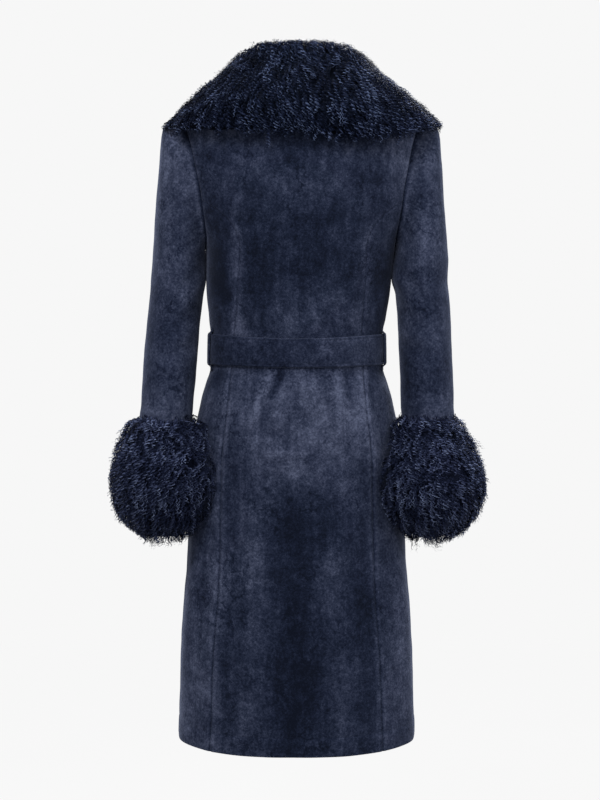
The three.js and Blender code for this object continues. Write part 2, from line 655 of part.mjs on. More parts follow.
// A tail comes out below the knot and lies on the skirt's front: start and spread are its sideways
// place at the knot and at its end
function beltTail(start, spread, lift) {
  const top = BELT_Z - 3 - KNOT.tall / 2 - TAIL_BELOW_KNOT;
  const rows = Array.from({ length: 9 }, (_, i) => {
    const share = i / 8;
    const z = top - TAIL_LENGTH * share;
    const out = i === 0 ? TAIL_ROOT_LIFT : 0;
    const middle = lerp(start, spread, share);
    return Array.from({ length: 4 }, (_, j) => {
      const x = middle + TAIL_WIDTH * lerp(0.3, 0.5, smoothstep(share, 0, 0.2)) * (j / 1.5 - 1);
      const turn = 270 - (90 - turnAtX(x, z));
      return coatPoint(540 - turn, z, lift + OVERLAP_LIFT + CLOTH + out);
    });
  });
  return clothWall(rows, CLOTH);
}

function beltLoop(side) {
  const turn = side > 0 ? LOOP_TURN : 180 - LOOP_TURN;
  const beltOut = BELT_LIFT + BELT_THICK;
  const profile = [
    { from: LOOP_REACH, lift: 0.8 },
    { from: 5, lift: 2 },
    { from: 1.2, lift: beltOut + 0.5 },
    { from: -10, lift: beltOut + 0.9 },
  ];
  const half = BELT_WIDTH / 2;
  const up = profile.map(({ from, lift }) => ({ z: BELT_Z + half + from, lift }));
  const down = [...profile].reverse().map(({ from, lift }) => ({ z: BELT_Z - half - from, lift }));
  const grid = [...up, ...down].map(({ z, lift }) => [-1, 0, 1].map((across) => {
    const { point, normal } = coatPoint(turn, z, 0);
    const round = new THREE.Vector3(-normal.y, normal.x, 0).normalize();
    const flat = new THREE.Vector3(normal.x, normal.y, 0).normalize();
    point.addScaledVector(flat, lift + CLOTH).addScaledVector(round, (across * LOOP_WIDTH) / 2);
    return { point, normal: flat };
  }));
  return clothWall(grid, CLOTH);
}

// The whole coat
const cloth = new THREE.MeshStandardMaterial({ color: COAT_COLOUR, roughness: 0.92, metalness: 0 });
const fur = new THREE.MeshStandardMaterial({ color: FUR_COLOUR, roughness: 0.7, metalness: 0 });
const coat = new THREE.Group();

function add(name, geometry, material) {
  const mesh = new THREE.Mesh(geometry, material.clone());
  mesh.name = name;
  coat.add(mesh);
  return mesh;
}

const collarCutters = [coatForm(-430, 0, FUR_CLEARANCE), sleeveForm(1), sleeveForm(-1)].map(toSolid);
const skirt = toSolid(coatForm(-900, -450, CUFF_GAP));
const splitGap = 0.0012;
add("back_centre", backCentre(), cloth);
add("front_side_left", frontSide(1), cloth);
add("front_side_right", frontSide(-1), cloth);
add("front_left", frontPiece(1), cloth);
add("front_right", frontPiece(-1), cloth);
[["left", 1], ["right", -1]].forEach(([word, side]) => {
  add("back_side_" + word, backSide(side), cloth);
  add("sleeve_" + word, sleeve(side), cloth);
  add("cuff_fur_" + word, cutBy(cuff(side), [skirt]), fur);
  const strip = collarLoft(side * (COLLAR_SPLIT + splitGap), side, 12);
  add("collar_fur_" + word, cutBy(strip, collarCutters), fur);
  add("belt_loop_" + word, beltLoop(side), cloth);
});
const backStrip = collarLoft(-COLLAR_SPLIT + splitGap, COLLAR_SPLIT - splitGap, 22);
add("collar_fur_back", cutBy(backStrip, collarCutters), fur);
add("belt_band", belt(), cloth);
add("belt_knot", beltKnot(), cloth).position.copy(knotPlace());
add("belt_tail_left", beltTail(9, 46, 2), cloth);
add("belt_tail_right", beltTail(-9, -44, 2 + CLOTH + SEAM), cloth);

export default coat;
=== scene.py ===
import math

import bpy
import bmesh
import numpy as np
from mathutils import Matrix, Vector


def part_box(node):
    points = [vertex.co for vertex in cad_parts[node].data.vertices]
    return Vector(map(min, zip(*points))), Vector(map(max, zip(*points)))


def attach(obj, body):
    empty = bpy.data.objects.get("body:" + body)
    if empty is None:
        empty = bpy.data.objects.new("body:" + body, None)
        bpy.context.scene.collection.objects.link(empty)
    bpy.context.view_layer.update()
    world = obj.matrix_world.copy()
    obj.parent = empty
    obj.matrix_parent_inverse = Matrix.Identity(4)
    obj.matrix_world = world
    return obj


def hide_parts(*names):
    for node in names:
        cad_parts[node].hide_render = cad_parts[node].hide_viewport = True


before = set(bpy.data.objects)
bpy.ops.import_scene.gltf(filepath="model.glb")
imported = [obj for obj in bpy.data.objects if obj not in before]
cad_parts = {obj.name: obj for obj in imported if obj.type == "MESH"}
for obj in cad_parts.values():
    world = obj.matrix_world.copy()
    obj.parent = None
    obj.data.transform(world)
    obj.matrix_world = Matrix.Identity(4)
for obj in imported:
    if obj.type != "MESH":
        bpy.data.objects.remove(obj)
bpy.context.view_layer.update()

# Lengths are in millimetres until a mesh is made. The front faces -Y and the wearer's left side is +X.

# Sizes and tables that the solids are made from too
CLOTH = 2.0
SEAM = 0.34
HEM_Z = -1030.0
HEM_RISE = 6.0  # how much higher the hem hangs at the sides than in the middle
HEM_RISE_FROM = -880.0
UNDERARM_Z = -262.0
SHOULDER_Z = -52.0
ARMHOLE_BACK = 60.0
ARMHOLE_FRONT = 56.0
ARMHOLE_MIDDLE = (UNDERARM_Z + SHOULDER_Z) / 2
ARMHOLE_HALF = (SHOULDER_Z - UNDERARM_Z) / 2
OVERLAP_LIFT = 3.0
BELT_WIDTH = 50.0
BELT_THICK = 3.0
BELT_Z = -418.0
BELT_SAG = 6.0
BELT_LIFT = 1.0
SIDE_BACK_TOP_Z = -187.0
BICEP_Z = -276.0
SLEEVE_END_Z = -521.0
CUFF_END_Z = -714.0
CAP_REACH = {1: 33.0, -1: 36.0}  # how far the sleeve's cap stands out, left and right
CAP_TURN = 0.14


class Table:
    """Rows in rising order of the first column, read along a smooth curve that never overshoots them."""

    def __init__(self, names, rows):
        columns = np.array(sorted(rows), float).T
        self.key = columns[0]
        self.columns = dict(zip(names.split(), columns))
        self.tangents = {name: self.slopes(values) for name, values in self.columns.items()}

    def slopes(self, values):
        step = np.diff(values) / np.diff(self.key)
        before, after = step[:-1], step[1:]
        same = before * after > 0
        inside = np.where(same, 2 * before * after / np.where(same, before + after, 1), 0)
        return np.concatenate([step[:1], inside, step[-1:]])

    def read(self, name, place):
        place = np.clip(np.asarray(place, float), self.key[0], self.key[-1])
        i = np.clip(np.searchsorted(self.key, place, side="right") - 1, 0, len(self.key) - 2)
        step = self.key[i + 1] - self.key[i]
        t = (place - self.key[i]) / step
        values, tangent = self.columns[name], self.tangents[name]
        start = values[i] * (1 + 2 * t) * (1 - t) ** 2 + tangent[i] * step * t * (1 - t) ** 2
        return start + values[i + 1] * t * t * (3 - 2 * t) + tangent[i + 1] * step * t * t * (t - 1)


BODY = Table("z half back front square sway twist", [
    (HEM_Z, 187, 136, 138, 2.5, 2, 0),
    (-893, 183, 130, 131, 2.5, 2, 0),
    (-727, 171, 122, 122, 2.4, 2, 0),
    (-640, 167, 119, 117, 2.3, 2, 0),
    (-545, 160, 114, 111, 2.25, 2, 0),
    (-498, 151, 108, 106, 2.2, 2, 0),
    (-470, 143, 102, 102, 2.2, 2, 0.5),
    (-448, 136, 96, 98, 2.2, 2, 1),
    (-391, 135, 95, 98, 2.2, 2, 1.5),
    (-372, 138, 96, 102, 2.2, 1, 2),
    (-325, 144, 98, 112, 2.2, -1, 3),
    (UNDERARM_Z, 148, 103, 122, 2.3, -3, 3.5),
    (-191, 172, 106, 122, 2.4, -3.5, 3.5),
    (-128, 186, 104, 112, 2.4, -3.5, 3.5),
    (-84, 188, 98, 99, 2.4, -3.5, 3.5),
    (SHOULDER_Z, 182, 90, 88, 2.3, -3.5, 3.5),
    (-34, 139, 82, 79, 2.2, -3.5, 3.5),
    (-16, 102, 72, 70, 2.1, -3.5, 3.5),
    (0, 76, 62, 62, 2, -3.5, 3.5),
])
SIDE_BACK = Table("z x", [
    (HEM_Z, 132), (-893, 128), (-780, 120), (-600, 115), (-511, 106), (-454, 102), (-387, 98),
    (-262, 97), (-240, 102), (-220, 114), (-205, 129), (-195, 143), (SIDE_BACK_TOP_Z, 154.9),
])
FRONT_EDGE = Table("z x", [
    (HEM_Z, -72), (-458, -72), (-385, -56), (-325, -14), (-262, 18), (-180, 40), (-90, 60), (-30, 70),
    (0, 72),
])
SLEEVE = Table("z left right y half deep", [
    (BICEP_Z, 187.4, 193.6, 3, 42.5, 63),
    (-308, 188.6, 191.8, 5, 44, 61),
    (-332, 191, 196, 7, 42.4, 59.5),
    (-385, 196, 199, 12, 42, 56),
    (-450, 201, 201, 22, 41.5, 52),
    (SLEEVE_END_Z, 206, 203, 34, 41, 47),
    (-620, 210, 209.5, 46, 40, 44),
    (-720, 211, 209, 50, 33, 37),
])
CUFF = Table("z left right", [
    (SLEEVE_END_Z, 45, 45), (-531, 58, 53), (-545, 66, 59), (-573, 75, 69), (-604, 81, 79),
    (-625, 81, 82), (-651, 76, 77), (-675, 67, 67), (-692, 55, 55), (-706, 41, 41), (CUFF_END_Z, 28, 28),
])
# The largest folds: degrees round from the wearer's left side, drift, levels, half width and height
FOLDS = [
    (106, -10, -610, -450, 8, -4), (52, 6, -660, -450, 9, 3.5), (136, -8, -640, -450, 8, 3.5),
    (22, 6, -1090, -560, 9, 5), (158, -5, -1090, -600, 9, 4.5), (60, 0, -390, -225, 8, 3.5),
    (120, 0, -390, -225, 8, 3.5), (90, 2, -390, -240, 8, -2.5), (228, 6, -700, -450, 9, 4),
    (312, -7, -720, -450, 9, 4), (216, -3, -390, -230, 9, 3.5), (322, 4, -390, -230, 9, 3.5),
    (203, 0, -1090, -640, 9, -4), (332, 0, -1090, -640, 9, -4),
]
# Creases, given as soft troughs and ridges: start and end, each across and up, half width and height
BACK_CREASES = [
    (25, -449, 42, -492, 6, -3.2), (42, -492, 56, -540, 9, -2.4), (38, -446, 72, -530, 8, 2),
    (80, -541, 14, -543, 3.5, -1.1), (56, -574, -22, -572, 6, 1.2), (118, -446, 128, -474, 6, -2.2),
    (-133, -446, -131, -570, 2.5, -0.9), (141, -700, 151, -846, 3, -0.8),
    (151, -846, 166, -1015, 3, -0.8), (-4, -448, -12, -500, 8, 1.4), (-76, -446, -82, -498, 7, -2.2),
    (-60, -450, -70, -520, 9, 1.4), (-20, -452, -30, -560, 12, 0.9), (8, -120, -8, -380, 5, -0.7),
    (105, -215, 20, -228, 7, -0.8), (20, -228, -110, -214, 7, -0.8), (96, -392, 70, -340, 8, 1.1),
    (-92, -392, -76, -335, 8, 1.2), (40, -392, 46, -356, 7, 0.9), (-30, -392, -24, -350, 7, 0.9),
    (132, -300, 96, -352, 9, -1), (-136, -296, -104, -350, 9, -1.1), (-150, -215, -118, -262, 8, 1),
    (146, -220, 116, -262, 8, 0.9), (60, -640, 74, -1020, 22, 1.3), (-50, -700, -58, -1025, 24, 1.3),
    (4, -640, 8, -1025, 20, -1.4), (-104, -600, -116, -1020, 20, -1.2), (100, -560, 112, -1000, 18, -1.2),
]
FRONT_CREASES = [
    (10, -452, 66, -600, 9, -1.8), (-6, -452, -70, -620, 10, -1.8), (20, -450, 92, -560, 8, 1.2),
    (-30, -450, -98, -570, 8, 1.3), (4, -660, 18, -1020, 24, 1.4), (-70, -640, -84, -1020, 26, 1.5),
    (88, -640, 104, -1020, 24, -1.4), (30, -392, 70, -330, 9, 1.3), (-40, -392, -80, -325, 9, 1.3),
    (110, -392, 100, -320, 9, -1.2), (-112, -392, -104, -322, 9, -1.2), (130, -300, 96, -340, 9, 1),
    (-132, -300, -98, -344, 9, 1),
]
BELT_CREASES = [
    (60, -402, 30, -432, 6, -0.8), (-40, -400, -66, -436, 6, -0.9), (-88, -404, -70, -430, 5, 0.7),
]
# On the sleeves, across is in degrees round from the outer side
SLEEVE_CREASES = [
    (150, -285, 95, -330, 9, -1.8), (160, -305, 110, -355, 9, 1.4), (170, -345, 110, -372, 8, -1.6),
    (200, -340, 262, -366, 9, 1.4), (195, -362, 265, -392, 8, -1.6), (165, -385, 95, -402, 9, 1.5),
    (160, -408, 80, -428, 9, -1.3), (205, -418, 280, -440, 9, 1.2), (60, -440, 140, -468, 9, 1),
    (300, -452, 220, -486, 9, -1.2), (80, -490, 10, -508, 9, -1), (30, -130, 55, -240, 14, 1),
    (180, -256, 180, -298, 15, 2.2), (340, -130, 300, -250, 14, -1), (0, -300, 20, -420, 16, -0.9),
    (130, -205, 118, -262, 8, -1.3), (113, -186, 90, -198, 4, -1.5), (119, -210, 95, -221, 4, -1.4),
]
DEGREE_ON_SLEEVE = 0.75  # how far one degree is, for the creases

# Sizes of the looks alone
BACKGROUND = 0.93  # the tone of the floor and the background
SLEEVE_INTO_CUFF = 14.0  # how far the sleeve runs on inside the fur
FUR_DEPTH = 7.0  # how far the dark under-fur lies below the tips of the curls
BELT_PULLED_UP = 3.0  # how much higher the band's lower edge lies than its solid's
INSIDE_TONE = -0.12  # how dark the inner side of the coat and the sleeves is
BELT_INSIDE_TONE = -0.1


def smoothstep(value, low, high):
    t = np.clip((np.asarray(value, float) - low) / (high - low), 0, 1)
    return t * t * (3 - 2 * t)


def span(vectors):
    return np.linalg.norm(vectors, axis=-1)


def unit(vectors):
    return vectors / np.maximum(span(vectors), 1e-9)[..., None]


def cos_sin(degrees):
    return np.cos(np.radians(degrees)), np.sin(np.radians(degrees))


def lengths_along(points, axis):
    """How far each point of a grid lies from the first one of its row or column."""
    steps = span(np.diff(points, axis=axis))
    return np.concatenate([0 * np.take(steps, [0], axis), np.cumsum(steps, axis)], axis)


def ripple(seed, points, size, count=7):
    """Smooth unevenness between about -1 and 1: points is an array of places, size the usual wave length."""
    rng = np.random.default_rng(seed)
    total = np.zeros(points.shape[:-1])
    for _ in range(count):
        direction = rng.normal(size=points.shape[-1])
        direction *= 2 * math.pi / (size * rng.uniform(0.7, 1.6) * np.linalg.norm(direction))
        total += np.sin(points @ direction + rng.uniform(0, 2 * math.pi))
    return total / math.sqrt(count)


def bell(away, wide):
    """1 in the middle, fading softly on both sides."""
    return np.exp(-((away / wide) ** 2))


def crease_height(across, up, creases):
    """How far the listed creases lift the cloth: each is a soft line that fades out at its two ends."""
    total = np.zeros(np.broadcast(across, up).shape)
    for ax, az, bx, bz, wide, tall in creases:
        dx, dz = bx - ax, bz - az
        along = ((across - ax) * dx + (up - az) * dz) / (dx * dx + dz * dz)
        held = np.clip(along, 0, 1)
        away = np.hypot(across - ax - held * dx, up - az - held * dz)
        fade = smoothstep(along, -0.25, 0.2) * (1 - smoothstep(along, 0.7, 1.25))
        total += tall * bell(away, wide) * fade
    return total


def fold_height(turn, z):
    turn = np.mod(turn, 360)
    total = np.zeros(np.broadcast(turn, z).shape)
    for middle, drift, low, high, wide, tall in FOLDS:
        share = (z - low) / (high - low)
        inside = (share > 0) & (share < 1)
        total += inside * tall * np.sin(math.pi * share) * bell(turn - middle - drift * share, wide)
    return total


def oval_measure(x, y, z):
    depth = np.where(y > 0, BODY.read("back", z), BODY.read("front", z))
    square = BODY.read("square", z)
    return np.abs(x / BODY.read("half", z)) ** square + np.abs(y / depth) ** square - 1


def outward(x, y, z):
    h = 0.5
    slope = [
        oval_measure(x + h, y, z) - oval_measure(x - h, y, z),
        oval_measure(x, y + h, z) - oval_measure(x, y - h, z),
        oval_measure(x, y, z + h) - oval_measure(x, y, z - h),
    ]
    return unit(np.stack(slope, -1))


def turn_about_z(vectors, degrees):
    c, s = cos_sin(degrees)
    x, y, z = vectors[..., 0], vectors[..., 1], vectors[..., 2]
    return np.stack([x * c - y * s, x * s + y * c, z], -1)


def swayed(points):
    z = points[..., 2]
    moved = turn_about_z(points, BODY.read("twist", z))
    moved[..., 0] += BODY.read("sway", z)
    return moved


def coat_points(turn, z, lift=0.0):
    """Points and outward directions on the coat: turn 0 is the wearer's left, 90 the middle of the back."""
    turn, z = np.broadcast_arrays(np.asarray(turn, float), np.asarray(z, float))
    c, d = cos_sin(turn)
    power = 2 / BODY.read("square", z)
    depth = np.where(d > 0, BODY.read("back", z), BODY.read("front", z))
    x = BODY.read("half", z) * np.sign(c) * np.abs(c) ** power
    y = depth * np.sign(d) * np.abs(d) ** power
    normal = outward(x, y, z)
    points = np.stack([x, y, z], -1) + normal * (lift + fold_height(turn, z))[..., None]
    points[..., 2] += HEM_RISE * c * c * smoothstep(-z, -HEM_RISE_FROM, -HEM_Z)
    return swayed(points), turn_about_z(normal, BODY.read("twist", z))


def turn_at_x(x, z):
    share = np.minimum(1, np.abs(x) / BODY.read("half", z))
    return np.degrees(np.arccos(np.sign(x) * share ** (BODY.read("square", z) / 2)))


def armhole_turn(z, reach, depth_name):
    away = np.clip((z - ARMHOLE_MIDDLE) / ARMHOLE_HALF, -1, 1)
    share = reach * np.sqrt(1 - away * away) / BODY.read(depth_name, z)
    return np.degrees(np.arcsin(share ** (BODY.read("square", z) / 2)))


def armhole_back(z):
    return armhole_turn(z, ARMHOLE_BACK, "back")


def armhole_front(z):
    return armhole_turn(z, ARMHOLE_FRONT, "front")


def side_back_turn(z):
    return turn_at_x(SIDE_BACK.read("x", z), z)


def front_edge_turn(z):
    return turn_at_x(FRONT_EDGE.read("x", z), z)


def over_lift(turn):
    return OVERLAP_LIFT * smoothstep(turn, 208, 238)


# Meshes

def grid_faces(rows, columns, first=0, flip=False, closed=False):
    """The quads of a grid whose points are numbered row by row, closed round its rows or not."""
    i, j = np.meshgrid(np.arange(rows - 1), np.arange(columns if closed else columns - 1), indexing="ij")
    here, beside = i * columns + j, i * columns + (j + 1) % columns
    quads = np.stack([here, beside, beside + columns, here + columns], -1).reshape(-1, 4) + first
    return quads[:, ::-1] if flip else quads


def linked(name, data):
    thing = bpy.data.objects.new(name, data)
    bpy.context.scene.collection.objects.link(thing)
    return thing


def smooth_piece(name, mesh):
    mesh.polygons.foreach_set("use_smooth", np.ones(len(mesh.polygons), bool))
    piece = linked(name, mesh)
    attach(piece, "root")
    return piece


def quad_piece(name, points_mm, quads):
    mesh = bpy.data.meshes.new(name)
    points = np.asarray(points_mm, float).reshape(-1, 3) / 1000
    quads = np.asarray(quads, np.int32)
    mesh.vertices.add(len(points))
    mesh.vertices.foreach_set("co", points.ravel())
    mesh.loops.add(quads.size)
    mesh.loops.foreach_set("vertex_index", quads.ravel())
    mesh.polygons.add(len(quads))
    mesh.polygons.foreach_set("loop_start", np.arange(0, quads.size, 4))
    mesh.polygons.foreach_set("loop_total", np.full(len(quads), 4))
    mesh.update(calc_edges=True)
    mesh.validate()
    return smooth_piece(name, mesh)


def set_values(piece, name, values):
    layer = piece.data.attributes.new(name, "FLOAT", "POINT")
    layer.data.foreach_set("value", np.asarray(values, np.float32).ravel())


def turned_out(piece):
    """Turns the faces of a closed piece so that they all look outwards."""
    work = bmesh.new()
    work.from_mesh(piece.data)
    bmesh.ops.recalc_face_normals(work, faces=work.faces)
    work.to_mesh(piece.data)
    work.free()
    return piece


def cloth_shell(node, points, normals, thickness, tube=False, rounding=0.7):
    """A closed thin shell with a rounded rim: points and normals are grids of its outer side."""
    rows, columns = points.shape[:2]
    inner = points - normals * thickness
    middle = (points - normals * thickness / 2).reshape(-1, 3)
    count = rows * columns
    faces = [grid_faces(rows, columns, 0, False, tube), grid_faces(rows, columns, count, True, tube)]
    rims = []

    def add_rim(ring, push):
        here = 2 * count + sum(map(len, rims)) + np.arange(len(ring))
        rims.append(middle[ring] + push * rounding)
        beside, beyond = np.roll(here, -1), np.roll(ring, -1)
        faces.append(np.stack([ring, beyond, beside, here], -1))
        faces.append(np.stack([here, beside, beyond + count, ring + count], -1))

    index = np.arange(count).reshape(rows, columns)
    start_push = unit(points[0] - points[1])
    end_push = unit(points[-1] - points[-2])
    if tube:
        add_rim(index[0], start_push)
        add_rim(index[-1], end_push)
    else:
        ring = np.concatenate([index[0, :-1], index[:-1, -1], index[-1, :0:-1], index[:0:-1, 0]])
        push = np.zeros((rows, columns, 3))
        push[0] += start_push
        push[-1] += end_push
        push[:, 0] += unit(points[:, 0] - points[:, 1])
        push[:, -1] += unit(points[:, -1] - points[:, -2])
        add_rim(ring, unit(push.reshape(-1, 3)[ring]))
    every = np.concatenate([points.reshape(-1, 3), inner.reshape(-1, 3), *rims])
    return turned_out(quad_piece(node + "_cloth", every, np.concatenate(faces)))


def declare_cloth(points, tube=False):
    """Works out the length and width of the rectangle the piece was cut from, and does nothing more with
    them.
    """
    grid = points if not tube else np.concatenate([points, points[:, :1]], 1)
    length, width = (round(float(lengths_along(grid, axis).max() / 1000), 4) for axis in (0, 1))


def set_nap_and_painted_light(piece, tone, inside_tone, material):
    """The tone of the nap and of the painted light and shade at the outer points, which come first, and one
    tone for all the others.
    """
    shown = np.full(len(piece.data.vertices), inside_tone)
    shown[:tone.size] = tone.ravel()
    set_values(piece, "tone", shown)
    piece.data.materials.append(material)


def stand_for(node):
    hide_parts(node)


# Materials

class Look:
    """A material with its shader, and the few kinds of node that the looks are made of."""

    def __init__(self, name):
        self.material = bpy.data.materials.new(name)
        self.material.use_nodes = True
        self.tree = self.material.node_tree
        self.where = self.add("ShaderNodeTexCoord").outputs["Object"]

    def feed(self, socket, value):
        """Gives a socket another node's output or a plain value."""
        if isinstance(value, bpy.types.NodeSocket):
            self.tree.links.new(value, socket)
        else:
            socket.default_value = value

    def add(self, kind, inputs=None, **settings):
        node = self.tree.nodes.new(kind)
        for key, value in settings.items():
            setattr(node, key, value)
        for key, value in (inputs or {}).items():
            self.feed(node.inputs[key], value)
        return node

    def surface(self, inputs):
        for key, value in inputs.items():
            self.feed(self.tree.nodes["Principled BSDF"].inputs[key], value)

    def attribute(self, name):
        return self.add("ShaderNodeAttribute", attribute_name=name).outputs["Fac"]

    def noise(self, scale, detail=3.0, rough=0.5, stretch=None):
        where = self.where
        if stretch:
            where = self.add("ShaderNodeMapping", {"Vector": where, "Scale": stretch}).outputs["Vector"]
        inputs = {"Vector": where, "Scale": scale, "Detail": detail, "Roughness": rough}
        return self.add("ShaderNodeTexNoise", inputs).outputs["Fac"]

    def math(self, operation, a, b):
        return self.add("ShaderNodeMath", {0: a, 1: b}, operation=operation).outputs[0]

    def spread(self, value, low, high, to_low, to_high):
        inputs = {"Value": value, "From Min": low, "From Max": high, "To Min": to_low, "To Max": to_high}
        return self.add("ShaderNodeMapRange", inputs).outputs["Result"]

    def colours(self, value, steps):
        node = self.add("ShaderNodeValToRGB", {"Fac": value})
        while len(node.color_ramp.elements) < len(steps):
            node.color_ramp.elements.new(0.5)
        for element, (place, colour) in zip(node.color_ramp.elements, steps):
            element.position = place
            element.color = (*colour, 1)
        return node.outputs["Color"]

    def relief(self, height, strength, distance):
        inputs = {"Height": height, "Strength": strength, "Distance": distance}
        self.surface({"Normal": self.add("ShaderNodeBump", inputs).outputs["Normal"]})


SUEDE_STEPS = [
    (0.0, (0.0012, 0.0023, 0.0066)),
    (0.3, (0.0042, 0.0066, 0.0160)),
    (0.55, (0.0116, 0.0154, 0.0305)),
    (0.8, (0.0270, 0.0325, 0.0560)),
    (1.0, (0.0480, 0.0560, 0.0900)),
]
# How much darker the thin veins are where the nap is crushed
VEIN_DEPTH = 0.24


def suede(name, brightness, streaks):
    """Napped suede: soft mottling, faint upright streaks where the nap is brushed, and a fine tooth."""
    look = Look(name)
    clouds = look.noise(22, 6, 0.70)
    parts = [
        (look.noise(7, 3, 0.5), 0.50),
        (clouds, 0.90),
        (look.noise(85, 5, 0.72), 0.85),
        (look.noise(1.0, 4, 0.62, (85, 85, 11)), 0.46 * streaks),
        (look.noise(300, 3, 0.80), 1.25),
    ]
    value = look.math("ADD", look.attribute("tone"), brightness)
    for part, weight in parts:
        centred = look.math("SUBTRACT", part, 0.5)
        value = look.math("ADD", value, look.math("MULTIPLY", centred, weight))
    vein = look.math("SUBTRACT", look.noise(27, 4, 0.6), 0.5)
    thin = look.spread(look.math("MULTIPLY", vein, vein), 0.0, 0.0009, 1.0, 0.0)
    crushed = look.spread(look.noise(16, 3), 0.48, 0.62, 0.0, VEIN_DEPTH)
    value = look.math("SUBTRACT", value, look.math("MULTIPLY", thin, crushed))
    look.surface({
        "Base Color": look.colours(value, SUEDE_STEPS),
        "Roughness": look.spread(clouds, 0.3, 0.7, 0.88, 0.98),
        "Specular IOR Level": 0.05,
        "Sheen Weight": 0.11,
        "Sheen Roughness": 0.42,
        "Sheen Tint": (0.50, 0.58, 0.86, 1),
    })
    tooth = look.math("MULTIPLY", look.noise(620, 3, 0.7), 0.6)
    look.relief(look.math("ADD", tooth, look.noise(130, 3, 0.6)), 0.5, 0.0012)
    return look.material


def fur_material(name, steps):
    """Wavy fur: each curl has its own shade and painted highlights, and painted shade darkens the roots below
    the paler tips.
    """
    look = Look(name)
    patches = look.math("MULTIPLY", look.math("SUBTRACT", look.noise(24, 3), 0.5), 0.40)
    value = look.math("ADD", look.attribute("shade"), patches)
    look.surface({
        "Base Color": look.colours(value, steps),
        "Roughness": look.spread(value, 0, 1, 0.7, 0.45),
        "Specular IOR Level": 0.05,
        "Specular Tint": (0.45, 0.60, 1.0, 1),
    })
    look.relief(look.noise(1.0, 3, 0.6, (420, 420, 160)), 0.6, 0.0015)
    return look.material


def paper(name):
    """A lit white floor: a little shadow shows near the coat, and far away it has the background's tone."""
    look = Look(name)
    away = look.add("ShaderNodeVectorMath", {0: look.where}, operation="LENGTH").outputs["Value"]
    far = look.spread(away, 0.5, 3.0, 0.0, 1.0)
    grain = look.spread(look.noise(3, 2), 0, 1, 0.045, 0.05)
    grey = look.math("MULTIPLY", grain, look.math("SUBTRACT", 1.0, far))
    look.surface({
        "Base Color": look.add("ShaderNodeCombineColor", {0: grey, 1: grey, 2: grey}).outputs["Color"],
        "Roughness": 1.0,
        "Specular IOR Level": 0.0,
        "Emission Color": (1, 1, 1, 1),
        "Emission Strength": look.spread(far, 0, 1, BACKGROUND - 0.10, BACKGROUND),
    })
    return look.material


coat_suede = suede("coat_suede", 0.52, 1.0)
belt_suede = suede("belt_suede", 0.50, 0.3)
collar_fur = fur_material("collar_fur_curls", [
    (0.0, (0.0002, 0.0004, 0.0012)),
    (0.35, (0.0009, 0.0015, 0.0048)),
    (0.65, (0.0076, 0.0110, 0.0270)),
    (1.0, (0.0520, 0.0690, 0.1250)),
])
cuff_fur = fur_material("cuff_fur_curls", [
    (0.0, (0.0008, 0.0012, 0.0034)),
    (0.35, (0.0064, 0.0086, 0.0212)),
    (0.65, (0.0285, 0.0360, 0.0710)),
    (1.0, (0.0820, 0.1020, 0.1680)),
])


# The coat's panels

# Painted light and shade on the panels, with some of the nap's own brushed tone: middle across and up, reach
# across and up, and strength
BACK_NAP_AND_PAINTED_LIGHT = [
    (0, -215, 190, 150, -0.25), (0, -520, 150, 70, 0.2), (-2, -600, 34, 26, 0.13),
    (60, -470, 50, 50, 0.06), (-80, -500, 40, 60, 0.08), (0, -690, 100, 52, -0.12),
    (-10, -900, 112, 190, -0.24), (165, -900, 30, 170, 0.2), (-165, -880, 26, 170, 0.2),
    (104, -760, 12, 110, 0.1), (-118, -760, 12, 120, 0.1), (92, -300, 12, 110, 0.16),
    (-104, -290, 12, 110, 0.16), (-40, -180, 50, 40, 0.06), (20, -150, 40, 30, 0.05),
    (-10, -330, 34, 60, 0.06), (120, -960, 10, 80, 0.1), (-128, -960, 10, 80, 0.08),
    (64, -330, 30, 60, -0.14), (-120, -315, 26, 90, -0.26), (124, -290, 20, 110, -0.32),
    (-165, -130, 30, 50, 0.2), (-50, -167, 50, 30, 0.1), (-55, -348, 14, 30, 0.14),
    (12, -368, 10, 30, 0.1), (0, -300, 80, 55, -0.14), (0, -950, 80, 90, -0.12), (0, -690, 70, 60, -0.07),
    (122, -88, 42, 24, 0.24), (-134, -98, 34, 22, 0.14), (116, -751, 22, 100, 0.14),
    (-114, -490, 6, 44, -0.24), (-99, -488, 8, 36, 0.1), (39, -479, 8, 30, 0.12), (93, -266, 8, 58, 0.14),
    (-65, -335, 10, 40, 0.1), (11, -370, 8, 26, 0.1), (-30, -282, 24, 50, -0.1), (64, -282, 16, 60, -0.1),
]
FRONT_NAP_AND_PAINTED_LIGHT = [
    (0, -230, 150, 130, -0.12), (-20, -520, 120, 60, 0.18), (30, -760, 140, 90, -0.14),
    (60, -940, 90, 120, -0.05), (-150, -880, 30, 170, 0.14), (150, -880, 30, 170, 0.14),
    (-60, -300, 60, 60, 0.08),
]
BELT_COVERS = 29.0  # how far above and below its middle the belt holds the cloth smooth
HEM_LINE = 28.0  # how far above the hem its turned-up edge is sewn
SEAM_FAINTER_FROM, SEAM_FAINTER_TO = -430, -380  # the seams show less above the waist
# More rows where the armhole and the shoulder turn sharply, and at the hem, counted up from it
ARMHOLE_ROWS = (-262.5, -261, -259, -256, -250, -244, -57, -54, -50, -46, -40)
HEM_ROWS = (0.6, 1.5, 3, 26, 28, 30)
ROW_STEP = 6.5
EDGE_SHARES = np.array([0.0, 0.006, 0.014, 0.026, 0.042, 0.064])


# Painted light and shade, with some nap tone, summed from soft patches
def nap_and_painted_light_tone(x, z, patches):
    total = np.zeros(np.shape(x))
    for px, pz, wide, tall, strength in patches:
        total += strength * bell(x - px, wide) * bell(z - pz, tall)
    return total


def by_side(y, on_back, on_front):
    """The back's values behind and the front's before, with a soft change between them."""
    share = smoothstep(y, -8, 8)
    return share * on_back + (1 - share) * on_front


